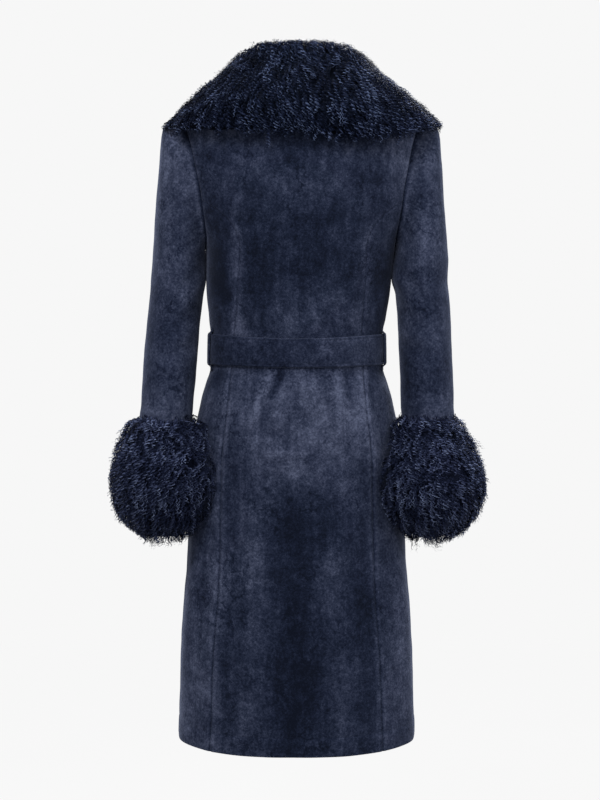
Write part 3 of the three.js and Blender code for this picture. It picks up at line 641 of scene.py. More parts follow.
def look_height(z, points):
    """The smaller creases and unevenness that the cloth has on top of its largest folds."""
    x, y = points[..., 0], points[..., 1]
    creases = by_side(y, crease_height(x, z, BACK_CREASES), crease_height(x, z, FRONT_CREASES))
    free = 1 - np.exp(-(((z - BELT_Z) / BELT_COVERS) ** 6))
    uneven = 0.6 * ripple(3, points, 150) + 0.3 * ripple(4, points, 46)
    return creases * free, uneven * free


def seam_groove(distance):
    """A seam is drawn in along its line, with a faint swell beside it."""
    return -0.9 * bell(distance, 1.6) + 0.45 * bell(distance - 5.5, 3.0)


def edge_columns(count):
    """Where a panel's columns lie across it: closer together along its two edges."""
    last = EDGE_SHARES[-1]
    return np.concatenate([EDGE_SHARES, np.linspace(last, 1 - last, count)[1:-1], 1 - EDGE_SHARES[::-1]])


def levels(low, high):
    base = np.linspace(low, high, max(2, int((high - low) / ROW_STEP)))
    armhole = [z for z in ARMHOLE_ROWS if low < z < high]
    hem = [HEM_Z + above for above in HEM_ROWS]
    return np.array(sorted(set(np.round(np.concatenate([base, armhole, hem]), 3))))


def panel(node, z, from_turn, to_turn, columns, lift=None, grooves=(1, 1)):
    """A panel between two edges that are given as turns at each level, drawn in by half a seam gap."""
    low, high = from_turn(z), to_turn(z)
    sign = np.sign(high - low)

    def per_degree(turn):
        return np.maximum(0.2, span(coat_points(turn + 0.5, z)[0] - coat_points(turn - 0.5, z)[0]))

    start = low + sign * SEAM / 2 / per_degree(low)
    end = high - sign * SEAM / 2 / per_degree(high)
    turn = start[:, None] + (end - start)[:, None] * columns[None, :]
    level = np.broadcast_to(z[:, None], turn.shape)
    base, _ = coat_points(turn, level)
    from_start = lengths_along(base, 1)
    from_end = from_start[:, -1:] - from_start
    creases, uneven = look_height(level, base)
    faint = 0.8 - 0.5 * smoothstep(level, SEAM_FAINTER_FROM, SEAM_FAINTER_TO)
    seams = grooves[0] * seam_groove(from_start) + grooves[1] * seam_groove(from_end)
    above_hem = level - HEM_Z
    height = creases + uneven + faint * seams
    height += 0.35 * (1 - smoothstep(above_hem, HEM_LINE - 4, HEM_LINE + 1))
    height -= 0.5 * bell(above_hem - HEM_LINE, 1.6)
    if lift:
        height += lift(turn)
    points, normals = coat_points(turn, level, height)
    piece = cloth_shell(node, points, normals, CLOTH)
    x, y = points[..., 0], points[..., 1]
    # Painted light and shade from the tables, with some of the nap's tone: the back's behind and the front's
    # before
    tone = by_side(y, nap_and_painted_light_tone(x, level, BACK_NAP_AND_PAINTED_LIGHT), nap_and_painted_light_tone(x, level, FRONT_NAP_AND_PAINTED_LIGHT))
    # Painted shade in the creases' troughs and painted light on their ridges
    tone += 0.13 * np.clip(creases, -3, 2)
    edges = np.minimum(from_start, from_end)
    # Painted shade along the seam's groove and a painted highlight on the swell beside it
    tone += 0.14 * bell(edges - 4.5, 3.5) - 0.2 * faint * bell(edges, 1.3)
    set_nap_and_painted_light(piece, tone, INSIDE_TONE, coat_suede)
    declare_cloth(points)
    stand_for(node)


def back_centre():
    def edge(z):
        return np.where(z <= SIDE_BACK_TOP_Z, side_back_turn(z), armhole_back(z))
    z = np.array(sorted(set(levels(HEM_Z, 0)) | {SIDE_BACK_TOP_Z, SIDE_BACK_TOP_Z + 0.5}))
    panel("back_centre", z, edge, lambda v: 180 - edge(v), edge_columns(58))


def back_side(word, side):
    def place(turn):
        return turn if side > 0 else 180 - turn
    z = np.append(levels(HEM_Z, SIDE_BACK_TOP_Z - 0.6), SIDE_BACK_TOP_Z - 0.2)
    panel("back_side_" + word, z, lambda v: place(armhole_back(v)), lambda v: place(side_back_turn(v)),
          edge_columns(16))


def side_front_turn(z):
    """Where the seam between the side panel and the front panel runs, measured from the side."""
    edge = front_edge_turn(z)
    return (armhole_front(z) + np.minimum(180 - edge, edge - 8)) / 2


def front_panels(word, side):
    def place(turn):
        return 360 - turn if side > 0 else 180 + turn
    parts = [("front_side_", armhole_front, side_front_turn, 16, (1, 1)),
             ("front_", side_front_turn, front_edge_turn, 28, (1, 0.4))]
    for node, start, end, count, grooves in parts:
        panel(node + word, levels(HEM_Z, 0), lambda v: place(start(v)), lambda v: place(end(v)),
              edge_columns(count), over_lift if side < 0 else None, grooves)


# Sleeves

# Painted shade on the sleeves: the right one more, and more again round the elbow and below
SLEEVE_PAINTED_SHADE = {1: 0.02, -1: 0.08}  # how much darker than the panels, left and right
SLEEVE_LOW_PAINTED_SHADE = {1: 0.10, -1: 0.20}  # and how much more round the elbow and below
SLEEVE_LOW_Z = -450.0
# Behind the armhole seam two rows lie tucked in under the coat: how deep and how far back
TUCKED_ROWS = [(4.5, 3.0), (1.6, 1.0)]


def armhole_points(side, angle):
    c, s = cos_sin(angle)
    z = ARMHOLE_MIDDLE + ARMHOLE_HALF * c
    turn = np.where(s >= 0, armhole_back(z), -armhole_front(z))
    return coat_points(turn if side > 0 else 180 - turn, z)


def sleeve_ring(side, angle, z):
    x = SLEEVE.read("left" if side > 0 else "right", z)
    c, s = cos_sin(angle)
    px = side * (x + SLEEVE.read("half", z) * c)
    py = SLEEVE.read("y", z) + SLEEVE.read("deep", z) * s
    return np.stack(np.broadcast_arrays(px, py, z), -1)


def cap_rows(side, angle, shares):
    """The rows of a sleeve from the armhole seam down to its widest ring."""
    root, normal = armhole_points(side, angle)
    ring = sleeve_ring(side, angle, np.full(angle.shape, BICEP_Z))
    under = ((1 - cos_sin(angle)[0]) / 2)[:, None]
    tangent = armhole_points(side, angle + 2)[0] - armhole_points(side, angle - 2)[0]
    away = unit(np.cross(tangent, normal))
    away *= np.where(away[:, :1] * side < 0, -1, 1)
    root = root + away * SEAM * (1 - under) + normal * under ** 2
    tuck = 1 - 0.6 * under
    rows = [root - (normal * deep + away * back) * tuck for deep, back in TUCKED_ROWS]
    for share in shares:
        turn = min(1.0, share / CAP_TURN)
        reach = CAP_REACH[side] * (1 - under) * (1 - share) * math.sqrt(1 - (1 - turn) ** 2)
        rows.append(root * (1 - share) + ring * share + np.array([side, 0, 0]) * reach)
    return rows


def sleeve(word, side):
    angle = np.arange(0, 360, 4.5)
    shares = np.concatenate([[0, 0.008, 0.02, 0.04, 0.07], np.linspace(0.1, 0.96, 20)])
    rows = cap_rows(side, angle, shares)
    downs = np.linspace(BICEP_Z, SLEEVE_END_Z - SLEEVE_INTO_CUFF, 52)
    rows += [sleeve_ring(side, angle, np.full(angle.shape, z)) for z in downs]
    points = np.array(rows)
    around = np.roll(points, -1, 1) - np.roll(points, 1, 1)
    normals = unit(np.cross(around, np.gradient(points, axis=0)))
    if np.sum(normals[-1] * (points[-1] - points[-1].mean(0))) < 0:
        normals = -normals
    z = points[..., 2]
    across = np.broadcast_to(angle, z.shape)
    creases = [(a * DEGREE_ON_SLEEVE, az, b * DEGREE_ON_SLEEVE, bz, wide, tall)
               for a, az, b, bz, wide, tall in SLEEVE_CREASES]
    height = sum(crease_height((across + turn) * DEGREE_ON_SLEEVE, z, creases) for turn in (0, 360, -360))
    height = height + 0.5 * ripple(11 + side, points, 120) + 0.25 * ripple(15 + side, points, 40)
    from_root = lengths_along(points, 0)
    from_root = from_root - from_root[len(TUCKED_ROWS)]
    height = height * smoothstep(from_root, 2, 22) * (1 - smoothstep(-z, -SLEEVE_END_Z - 13, -SLEEVE_END_Z))
    height = height + seam_groove(from_root) * 0.8
    points = points + normals * height[..., None]
    # Painted highlight on the swell beside the armhole seam and painted shade in its groove, over a soft
    # random tone; then the sleeve's painted shade, more round the elbow
    tone = 0.10 + 0.08 * ripple(21 + side, points, 160) + 0.12 * bell(from_root - 6, 4)
    tone -= 0.45 * bell(from_root, 2.2) + SLEEVE_PAINTED_SHADE[side]
    tone -= SLEEVE_LOW_PAINTED_SHADE[side] * bell(points[..., 2] - SLEEVE_LOW_Z, 95)
    piece = cloth_shell("sleeve_" + word, points, normals, CLOTH, tube=True)
    set_nap_and_painted_light(piece, tone, INSIDE_TONE, coat_suede)
    declare_cloth(points, tube=True)
    stand_for("sleeve_" + word)


# Belt

STITCH_LINE = 0.84  # where the sewn line runs, as a share of the way from the belt's middle to its edge
BELT_SHARES = np.array([-1, -0.96, -0.9, -0.84, -0.8, -0.5, -0.2, 0.1, 0.4, 0.7, 0.8, 0.84, 0.9, 0.96, 1])
KNOT_TALL = 62.0
KNOT_SQUARE = 0.72  # a ball's directions to this power are the knot's, so it is somewhat square
KNOT_SET_BACK = 1.5
TAIL_WIDTH = 46.0
TAIL_LENGTH = 330.0
TAIL_ROOT_LIFT = 9.0  # how far a tail stands out where it comes from under the knot
TAIL_SHARES = np.array([-1, -0.95, -0.88, -0.8, -0.74, -0.45, -0.15, 0.15, 0.45, 0.74, 0.8, 0.88, 0.95, 1])
LOOP_WIDTH = 11.0
LOOP_REACH = 10.0
LOOP_TURN = 13.0
LOOP_SHARES = np.array([-1, -0.9, -0.7, -0.62, -0.3, 0.3, 0.62, 0.7, 0.9, 1])


def belt_lift(turn):
    return BELT_LIFT + over_lift(turn) * (1 - smoothstep(turn, 300, 325))


def set_belt_mottling_and_painted_light(piece, points):
    places = points.reshape(-1, 3)
    x, on_back = places[:, 0], places[:, 1] > 0
    # Painted light and shade on the back of the band, darker towards the wearer's left and lighter towards
    # the right, over a soft mottling
    tone = -0.02 - 0.13 * np.tanh(x / 45) * on_back + 0.06 * ripple(31, places, 50)
    set_nap_and_painted_light(piece, tone, BELT_INSIDE_TONE, belt_suede)


def belt_cloth(node, points, normals, thickness, tube=False, rounding=0.7):
    piece = cloth_shell(node, points, normals, thickness, tube, rounding)
    set_belt_mottling_and_painted_light(piece, points)
    declare_cloth(points, tube)
    stand_for(node)


def belt_band():
    turn = np.arange(0, 360, 2.0)
    share = BELT_SHARES[:, None]
    low_side = (1 - share) / 2
    z = BELT_Z + share * BELT_WIDTH / 2 - BELT_SAG * bell(turn - 90, 50) * (1 - 0.6 * low_side)
    z = z + BELT_PULLED_UP * low_side
    across = np.broadcast_to(turn, z.shape)
    points, normals = coat_points(across, z)
    normals[..., 2] = 0
    normals = unit(normals)
    edge = np.abs(share)
    height = -0.6 * bell(edge - STITCH_LINE, 0.035) - 0.8 * smoothstep(edge, 0.95, 1.0)
    height = height + 0.5 * ripple(41, points, 60) * (1 - smoothstep(edge, 0.8, 1.0))
    height = height + crease_height(points[..., 0], z, BELT_CREASES)
    points = points + normals * (belt_lift(across) + BELT_THICK + height)[..., None]
    belt_cloth("belt_band", points, normals, BELT_THICK, tube=True, rounding=0.9)


def belt_knot():
    """The wound knot: a soft body with slanting wraps pressed into it."""
    low, high = (np.array(corner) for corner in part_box("belt_knot"))
    middle, size = (low + high) * 500, (high - low) * 500
    middle[1] += KNOT_SET_BACK
    u = np.linspace(0, 2 * math.pi, 96, endpoint=False)
    v = np.linspace(-math.pi / 2, math.pi / 2, 60)[1:-1]

    def boxy(value):
        return np.sign(value) * np.abs(value) ** KNOT_SQUARE

    uu, vv = np.meshgrid(u, v)
    x, y, z = boxy(np.cos(uu) * np.cos(vv)), boxy(np.sin(uu) * np.cos(vv)), boxy(np.sin(vv))
    slant = z * 1.15 + x * 0.5
    wraps = 0.10 * np.cos(slant * 6.2) ** 2 - 0.05 * bell(x + 0.35 * z, 0.12)
    points = np.stack([x * size[0], y * size[1], z * size[2]], -1) * (0.95 + wraps * 0.55)[..., None] + middle
    ends = [middle - size * (0, 0, 0.97), middle + size * (0, 0, 0.97)]
    rows, columns = points.shape[:2]
    foot = rows * columns
    top, last = foot + 1, foot - columns
    faces = grid_faces(rows, columns, closed=True).tolist()
    faces += [(j, (j + 1) % columns, foot) for j in range(columns)]
    faces += [(last + j, last + (j + 1) % columns, top) for j in range(columns)]
    every = np.concatenate([points.reshape(-1, 3), ends]) / 1000
    mesh = bpy.data.meshes.new("belt_knot_cloth")
    mesh.from_pydata(every.tolist(), [], faces)
    piece = turned_out(smooth_piece("belt_knot_cloth", mesh))
    set_belt_mottling_and_painted_light(piece, every * 1000)
    stand_for("belt_knot")


def belt_tail(word, start, end, lift, seed):
    """A tail that goes from one place across to another as it falls, gathered where it leaves the knot."""
    top = BELT_Z - 3 - KNOT_TALL / 2 - SEAM
    share = np.concatenate([[-0.03, -0.015], np.linspace(0, 1, 56)])[:, None]
    half = TAIL_WIDTH * (0.3 + 0.2 * smoothstep(share, 0, 0.2))
    x = start + (end - start) * share + half * TAIL_SHARES
    level = np.broadcast_to(top - TAIL_LENGTH * share, x.shape)
    turn = 360 - turn_at_x(x, level)
    gather = 1 - smoothstep(share, 0.0, 0.3)
    height = 0.9 * gather * np.cos(TAIL_SHARES * 7)
    height = height + 0.9 * (1 + np.sin(share * 9 + seed)) * smoothstep(share, 0.1, 0.6)
    height = height - 0.45 * bell(np.abs(TAIL_SHARES) - STITCH_LINE, 0.04)
    height = height + TAIL_ROOT_LIFT * (1 - smoothstep(share, 0.0, 0.125))
    points, normals = coat_points(turn, level, lift + OVERLAP_LIFT + CLOTH + height)
    belt_cloth("belt_tail_" + word, points, normals, CLOTH)


def belt_loop(word, side):
    """A narrow strip sewn on above and below the belt and led round its outside."""
    turn = LOOP_TURN if side > 0 else 180 - LOOP_TURN
    out = BELT_LIFT + BELT_THICK
    half = BELT_WIDTH / 2
    stops = [(LOOP_REACH, -0.5), (5, -0.3), (2.6, out - 2), (1, out + 0.3), (-2, out + 1.2)]
    stops.append((-half, out + 1.5))
    profile = [(BELT_Z + half + past, lift) for past, lift in stops]
    profile += [(BELT_Z - half + BELT_PULLED_UP - past, lift) for past, lift in reversed(stops[:-1])]
    sideways = (LOOP_SHARES * LOOP_WIDTH / 2)[:, None]
    sides = np.abs(LOOP_SHARES)
    dip = -0.3 * bell(sides - 0.66, 0.06) - 0.3 * smoothstep(sides, 0.85, 1)
    rows, normals = [], []
    for z, lift in profile:
        point, normal = coat_points(np.array([turn]), np.array([z]))
        flat = unit(normal[0] * np.array([1, 1, 0]))
        beside = np.array([-flat[1], flat[0], 0])
        rows.append(point[0] + flat * (lift + CLOTH + dip)[:, None] + beside * sideways)
        normals.append(np.broadcast_to(flat, (len(sides), 3)))
    belt_cloth("belt_loop_" + word, np.array(rows), np.array(normals), CLOTH, rounding=0.4)


# Fur

STRANDS = 3  # narrow strips in one lock
STRIP_STEPS = 22  # and steps along a strip
FACING_ROW = 20  # the row at which a surface's outer side is told
# Where on its surface a fur grows, how wide a strip is, how far and how often it waves, how far a lock leans,
# how far its tip stands off and hangs over the edge, how much of the top is bare, how unlike the strips of a
# lock are, how evenly the locks are spread, and by what margin a strip stays outside the coat's form
COLLAR_CURLS = {
    "low_v": 0.02, "high_v": 0.96, "width": (1.3, 2.2), "amplitude": 1.9, "wave": 8.4, "slant": 0.2,
    "flick": 2.0, "hang": 8.0, "bare_top": 0.0, "stray": 0.12, "dense": 0.98, "margin": -0.02,
}
CUFF_CURLS = {
    "low_v": 0.0, "high_v": 0.98, "width": (1.3, 2.1), "amplitude": 2.0, "wave": 7.8, "slant": 0.22,
    "flick": 3.0, "hang": 6.0, "bare_top": 0.06, "stray": 0.3, "dense": 0.7, "margin": 0.0,
}
# The shortest and longest lock of each layer, and how uneven its height is
COLLAR_LAYERS = [((24, 38), 1.5), ((30, 50), 3.0)]
CUFF_LAYERS = [((18, 28), 1.5), ((20, 34), 3.0)]
CUFF_LOCKS = 680
CUFF_FOOT = -688


class Surface:
    """A grid of points with rows going down the fur's fall, read at any place between them."""

    def __init__(self, points, wrap=False):
        self.points = np.asarray(points, float)
        self.wrap = wrap
        across = np.gradient(self.points, axis=1)
        if wrap:
            across = (np.roll(self.points, -1, 1) - np.roll(self.points, 1, 1)) / 2
        self.normals = unit(np.cross(across, np.gradient(self.points, axis=0)))
        self.across = unit(across)

    def face_away(self, column, inner):
        """Turns the normals away from an inner point, as told at one place."""
        if self.normals[FACING_ROW, column] @ (self.points[FACING_ROW, column] - inner) < 0:
            self.normals = -self.normals

    def at(self, grid, u, v):
        rows, columns = grid.shape[:2]
        v = np.clip(v, 0, 1) * (rows - 1)
        i = np.minimum(v.astype(int), rows - 2)
        fv = (v - i)[..., None]
        if self.wrap:
            u = np.mod(u, 1) * columns
            j = u.astype(int)
        else:
            u = np.clip(u, 0, 1) * (columns - 1)
            j = np.minimum(u.astype(int), columns - 2)
        fu = (u - j)[..., None]
        j, k = j % columns, (j + 1) % columns
        top = grid[i, j] * (1 - fu) + grid[i, k] * fu
        low = grid[i + 1, j] * (1 - fu) + grid[i + 1, k] * fu
        return top * (1 - fv) + low * fv

    def down_scale(self, u, v):
        """How many millimetres of fall one whole unit of v is, near a place."""
        step = 0.02
        below, above = np.minimum(v + step, 1), np.minimum(v, 1 - step)
        move = self.at(self.points, u, below) - self.at(self.points, u, above)
        return np.maximum(span(move) / step, 1)

    def side_scale(self, u, v):
        step = 0.01
        move = self.at(self.points, u + step, v) - self.at(self.points, u - step, v)
        return np.maximum(span(move) / (2 * step), 1)


def clear_of_coat(centre, margin):
    """Which strips keep all their points below the neck outside the coat's own form, by the margin."""
    z = np.minimum(centre[..., 2], 0)
    inside = oval_measure(centre[..., 0] - BODY.read("sway", z), centre[..., 1], z) < margin
    return ~np.any(inside & (centre[..., 2] < -8), axis=1)


def curls(name, surface, locks, material, seed, length, height, low_v, high_v, width, amplitude, wave, slant,
          flick, hang, bare_top, stray, dense, margin):
    """Wavy fur: locks that lie along the surface's fall, each of some narrow strips that draw together."""
    rng = np.random.default_rng(seed)
    u = rng.random(locks * 5)
    v = low_v + (high_v - low_v) * rng.random(locks * 5)
    area = surface.down_scale(u, v) * surface.side_scale(u, v)
    chosen = rng.random(locks * 5) < area / np.quantile(area, dense)
    u, v = u[chosen][:locks], v[chosen][:locks]
    locks = len(u)
    down, aside = surface.down_scale(u, v), surface.side_scale(u, v)
    lean = rng.normal(0, slant, locks) + 0.28 * ripple(seed + 1, np.stack([u * 9, v * 5], -1), 3)
    root = surface.at(surface.points, u, v)
    left_over = (1 - v) * down / np.maximum(np.cos(lean), 0.3) + rng.gamma(1.3, hang / 1.3, locks) - 2
    size = np.minimum(rng.uniform(*length, locks), np.maximum(left_over, 15))
    period = wave * np.exp(0.14 * ripple(seed + 2, root, 34) + rng.normal(0, 0.12, locks))
    phase = 2.4 * ripple(seed + 3, root, 22) + rng.normal(0, 1.2, locks)
    swing = amplitude * rng.uniform(0.55, 1.3, locks)
    lift = height * (rng.beta(1.2, 2.2, locks) * 2 - 1)
    raised = flick * rng.gamma(1.6, 0.55, locks)
    shade = 0.10 + 0.30 * rng.beta(1.2, 1.6, locks)
    sunk = FUR_DEPTH * smoothstep(v, bare_top - 0.001, 2 * bare_top)
    count = locks * STRANDS

    def each(values, jitter=0.0):
        return (np.repeat(values, STRANDS) + jitter * rng.normal(size=count))[:, None]

    t = np.linspace(0, 1, STRIP_STEPS + 1)[None, :]
    gather = 1 - 0.6 * t
    lean, size = each(lean, stray), each(size) * rng.uniform(0.72, 1.05, count)[:, None]
    pv = each(v) + (3.4 * each(0 * v, 1) * gather + t * size * np.cos(lean)) / each(down)
    pu = each(u) + (3.4 * each(0 * u, 1) * gather + t * size * np.sin(lean)) / each(aside)
    over = np.maximum(pv - 1, 0) * each(down)
    centre = surface.at(surface.points, pu, pv)
    normal = surface.at(surface.normals, pu, pv)
    across = surface.at(surface.across, pu, pv)
    centre[..., 2] -= over * 0.9
    centre -= normal * (over * 0.12)[..., None]
    # Painted highlights: a few strands are made much brighter, and they stand a little higher
    bright = rng.random(count)[:, None] ** 2.6
    angle = 2 * math.pi * t * (0.85 + 0.3 * t) * size / each(period) + each(phase, 0.8)
    bend = each(swing) * rng.uniform(0.8, 1.2, count)[:, None]
    bend = bend * np.minimum(1, t * 5 + 0.15) * (0.55 + 0.85 * t)
    rise = -each(sunk) + (each(sunk) + each(lift, 0.9) + bright) * np.sin(math.pi * t ** 0.6 * 0.6)
    rise = rise + each(raised) * t ** 2
    centre = centre + across * (bend * np.cos(angle))[..., None]
    centre = centre + normal * (rise + bend * 0.7 * np.sin(angle))[..., None]
    half = rng.uniform(*width, count)[:, None] / 2 * (1 - t ** 2.5 * 0.85) * np.minimum(1, 0.4 + t * 4)
    # Painted shade darkens each strand towards its root, and painted highlights lie on the crests of its
    # waves
    tone = (each(shade) + 0.66 * bright) * (0.40 + 0.75 * t)
    tone = tone + 0.14 * np.sin(angle + 0.6) * (0.4 + 0.6 * t)
    kept = clear_of_coat(centre, margin)
    centre, normal, across, angle, half, tone = (a[kept] for a in (centre, normal, across, angle, half, tone))
    along = unit(np.gradient(centre, axis=1))
    beside = unit(np.cross(along, normal + across * 0.9 * np.sin(angle)[..., None])) * half[..., None]
    points = np.stack([centre - beside, centre + beside], 2).reshape(len(centre), -1, 3)
    first = (np.arange(len(centre)) * points.shape[1])[:, None]
    s = first + np.arange(STRIP_STEPS)[None, :] * 2
    piece = quad_piece(name, points, np.stack([s, s + 1, s + 3, s + 2], -1).reshape(-1, 4))
    set_values(piece, "shade", np.repeat(tone, 2, axis=1))
    piece.data.materials.append(material)
    return piece


def under_fur(node, material, shrink, foot):
    """The dense fur below the curls: the solid's own form, drawn in a little and roughened."""
    work = bmesh.new()
    work.from_mesh(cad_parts[node].data)
    bmesh.ops.remove_doubles(work, verts=work.verts, dist=1e-5)
    bmesh.ops.subdivide_edges(work, edges=[e for e in work.edges if e.calc_length() > 0.016], cuts=1)
    work.normal_update()
    places = np.array([v.co[:] for v in work.verts]) * 1000
    middle = places[:, 0].mean()
    uneven = 1.6 * ripple(61, places, 16) + 1.0 * ripple(62, places, 7)
    for vertex, more in zip(work.verts, uneven):
        vertex.co -= vertex.normal * (shrink + more) / 1000
        if vertex.co.z * 1000 < foot:
            share = min(1, abs(vertex.co.x * 1000 - middle) / 48)
            vertex.co.z += (foot / 1000 - vertex.co.z) * (0.3 + 0.3 * share ** 2)
    mesh = bpy.data.meshes.new(node + "_base")
    work.to_mesh(mesh)
    work.free()
    piece = smooth_piece(node + "_base", mesh)
    # Painted shade: the under-fur takes a very dark shade, as the depth of the fur below the curls
    set_values(piece, "shade", np.full(len(mesh.vertices), 0.06))
    mesh.materials.append(material)
    stand_for(node)


def fur(node, material, surface, shrink, foot, locks, seeds, layers, style):
    """Dense under-fur in place of the solid and layers of curls over it."""
    under_fur(node, material, shrink, foot)
    for layer, (seed, (length, height)) in enumerate(zip(seeds, layers), 1):
        piece = curls("%s_curls_%d" % (node, layer), surface, locks, material, seed, length, height, **style)


COLLAR = Table("at nx ny nz rx ry rz ox oy oz", [
    (0, 0, 56, 0, 0, 72, 60, 0, 118, -84),
    (0.13, 26, 53, 0, 32, 68, 60, 62, 118, -84),
    (0.27, 48, 43, 0, 60, 54, 57, 128, 105, -82),
    (0.4, 64, 24, 0, 78, 30, 48, 188, 72, -76),
    (0.5, 70, 2, 0, 86, 2, 38, 214, 6, -74),
    (0.6, 69, -24, -6, 86, -32, 36, 206, -62, -92),
    (0.7, 62, -62, -48, 80, -88, -8, 182, -100, -134),
    (0.8, 49, -100, -128, 68, -138, -110, 152, -122, -196),
    (0.9, 30, -118, -224, 52, -153, -222, 114, -132, -274),
    (1, 5, -106, -340, 26, -136, -346, 56, -122, -366),
])
COLLAR_RIGHT_DROP = 10.0
COLLAR_RIGHT_REACH = 7.0
COLLAR_SPLIT = 0.5
COLLAR_STEPS = 40
# Each part: its stretch of the collar, its columns, its locks in a layer, its seeds, where its under-fur ends
COLLAR_PARTS = [
    ("back", -COLLAR_SPLIT, COLLAR_SPLIT, 161, 880, (710, 711), -math.inf),
    ("left", COLLAR_SPLIT, 1.0, 91, 370, (720, 721), -342),
    ("right", -1.0, -COLLAR_SPLIT, 91, 370, (730, 731), -342),
]
FUR_ROLL = 9.0
FUR_FULLNESS = 15.0
FUR_FLATTER = 0.62


def collar_section(place):
    """The outer line of the collar at one place, from inside the neck over the ridge to the outer edge."""
    share, side = abs(place), (-1 if place < 0 else 1)

    def corner(letter, at=share):
        return np.array([side * COLLAR.read(letter + "x", at), COLLAR.read(letter + "y", at),
                         COLLAR.read(letter + "z", at)], float)

    on_back = max(0, 1 - share / COLLAR_SPLIT)
    drop = COLLAR_RIGHT_DROP * min(1, on_back * 2) * min(1, share * 8) if side < 0 else 0
    bump = COLLAR_RIGHT_REACH * bell(share - 0.47, 0.1) if side < 0 else 0
    neck, ridge, edge = corner("n"), corner("r"), corner("o") + np.array([-bump, 0, bump - drop])
    step = 0.02
    ahead, behind = corner("r", min(share + step, 1)), corner("r", abs(share - step))
    if share < step:
        behind[0] = -behind[0]
    along = unit(ahead - behind)
    fall = edge - ridge
    swell = unit(np.cross(fall, along))
    swell *= -1 if swell @ (ridge - neck) < 0 else 1
    into = unit(np.cross(neck - ridge, along))
    into *= -1 if into @ fall > 0 else 1
    full = FUR_FULLNESS * (1 - FUR_FLATTER * bell(share - 0.5, 0.14))
    line = [
        neck + into * FUR_ROLL * 0.6,
        (neck + ridge) / 2 + into * FUR_ROLL,
        ridge + (neck - ridge) * 0.12 + into * FUR_ROLL * 0.5,
        ridge + fall * 0.05 + swell * full * 0.25,
        ridge + fall * 0.3 + swell * full * 0.7,
        ridge + fall * 0.58 + swell * full,
        ridge + fall * 0.84 + swell * full * 0.7,
        edge,
    ]
    path = lengths_along(np.array(line), 0)
    smooth = Table("path x y z", np.column_stack([path, line]).tolist())
    even = np.linspace(0, path[-1], COLLAR_STEPS)
    return swayed(np.stack([smooth.read(axis, even) for axis in "xyz"], -1))


def collar():
    for word, low, high, columns, locks, seeds, foot in COLLAR_PARTS:
        surface = Surface(np.stack([collar_section(place) for place in np.linspace(low, high, columns)], 1))
        middle = columns // 2
        surface.face_away(middle, (0, 0, surface.points[FACING_ROW, middle, 2] - 10))
        fur("collar_fur_" + word, collar_fur, surface, FUR_DEPTH, foot, locks, seeds,
            COLLAR_LAYERS, COLLAR_CURLS)


def pushed_off_coat(points, way):
    """Fur that would reach into the coat lies on its outside instead, behind it or in front of it."""
    points = points.copy()
    x = points[:, 0] - BODY.read("sway", points[:, 2])
    for _ in range(60):
        inside = oval_measure(x, points[:, 1], points[:, 2]) < 0.05
        points[:, 1] += np.where(inside, np.where(way > 0, 1.5, -1.5), 0)
    return points


def cuff(word, side):
    angle = np.linspace(0, 360, 64, endpoint=False)
    rows = []
    for z in np.linspace(SLEEVE_END_Z + 4, CUFF_END_Z, 44):
        level = np.full(angle.shape, z)
        outer = sleeve_ring(side, angle, level)
        middle = (outer + sleeve_ring(side, angle + 180, level)) / 2
        direction = unit(outer - middle)
        radius = span(outer - middle)
        open_share = smoothstep(-z, -SLEEVE_END_Z - 4, -SLEEVE_END_Z + 12)
        least = radius + 2 - 30 * smoothstep(-z, 695, 716)
        reach = np.maximum(CUFF.read(word, z), least)
        reach = radius + 1 + (reach - radius - 1) * open_share
        inward = np.maximum(-side * direction[:, 0], 0)
        reach = reach + 9 * open_share * inward * smoothstep(direction[:, 1], 0.0, 0.5)
        rows.append(pushed_off_coat(middle + direction * reach[:, None], direction[:, 1]))
        rows[-1][:, 2] += 8 * smoothstep(-z, 672, 716) * direction[:, 0] ** 2
    surface = Surface(rows, wrap=True)
    surface.face_away(5, surface.points[FACING_ROW].mean(0))
    seed = 90 + side * 3
    fur("cuff_fur_" + word, cuff_fur, surface, FUR_DEPTH - 1, CUFF_FOOT, CUFF_LOCKS,
        (seed, seed + 7), CUFF_LAYERS, CUFF_CURLS)


# Camera, floor and light

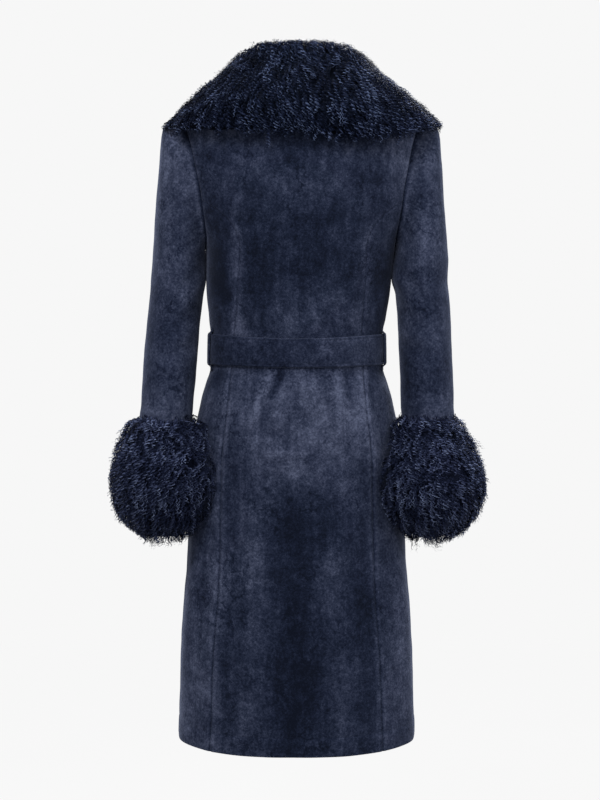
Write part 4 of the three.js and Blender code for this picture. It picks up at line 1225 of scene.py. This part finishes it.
LENS_MM = 74.07
SENSOR_MM = 36
CAMERA_X = -3.2
CAMERA_DISTANCE = 2600.0
CAMERA_Z = -340.0
SHIFT_UP = -0.0625
TILT = 1.74
# Each light's place, the level it is aimed at, its width in metres and its power
LIGHTS = [
    ("key", (0.9, 2.3, 2.3), -0.4, 1.2, 150),
    ("fill", (-2.4, 1.2, 0.6), -0.5, 1.6, 45),
    ("front_key", (-0.9, -2.3, 2.3), -0.4, 1.2, 150),
    ("top", (0, 0, 2.4), -0.4, 1.2, 60),
]


def camera():
    data = bpy.data.cameras.new("camera")
    data.lens = LENS_MM
    data.sensor_width = SENSOR_MM
    data.shift_y = SHIFT_UP
    thing = linked("camera", data)
    thing.location = Vector((CAMERA_X, CAMERA_DISTANCE, CAMERA_Z)) / 1000
    thing.rotation_euler = (math.radians(90 - TILT), 0, math.radians(180))
    bpy.context.scene.camera = thing


def studio():
    world = bpy.data.worlds.new("studio")
    bpy.context.scene.world = world
    world.use_nodes = True
    background = world.node_tree.nodes["Background"]
    background.inputs["Color"].default_value = (BACKGROUND, BACKGROUND, BACKGROUND, 1)
    background.inputs["Strength"].default_value = 1.0
    bpy.ops.mesh.primitive_circle_add(vertices=96, radius=40, fill_type="NGON", location=(0, 0, -1.5))
    floor = bpy.context.object
    floor.name = "floor"
    floor.data.materials.append(paper("floor_paper"))
    for name, place, aim, size, power in LIGHTS:
        data = bpy.data.lights.new(name, "AREA")
        data.shape = "DISK"
        data.size = size
        data.energy = power
        light = linked(name, data)
        light.location = place
        light.rotation_euler = (Vector((0, 0, aim)) - Vector(place)).to_track_quat("-Z", "Y").to_euler()
    bpy.context.scene.view_settings.view_transform = "Standard"


camera()
back_centre()
for word, side in (("left", 1), ("right", -1)):
    back_side(word, side)
    front_panels(word, side)
    sleeve(word, side)
    belt_loop(word, side)
    cuff(word, side)
belt_band()
belt_knot()
belt_tail("left", 9, 46, 2, 0.4)
belt_tail("right", -9, -44, 2 + CLOTH + SEAM, 2.1)
collar()
studio()
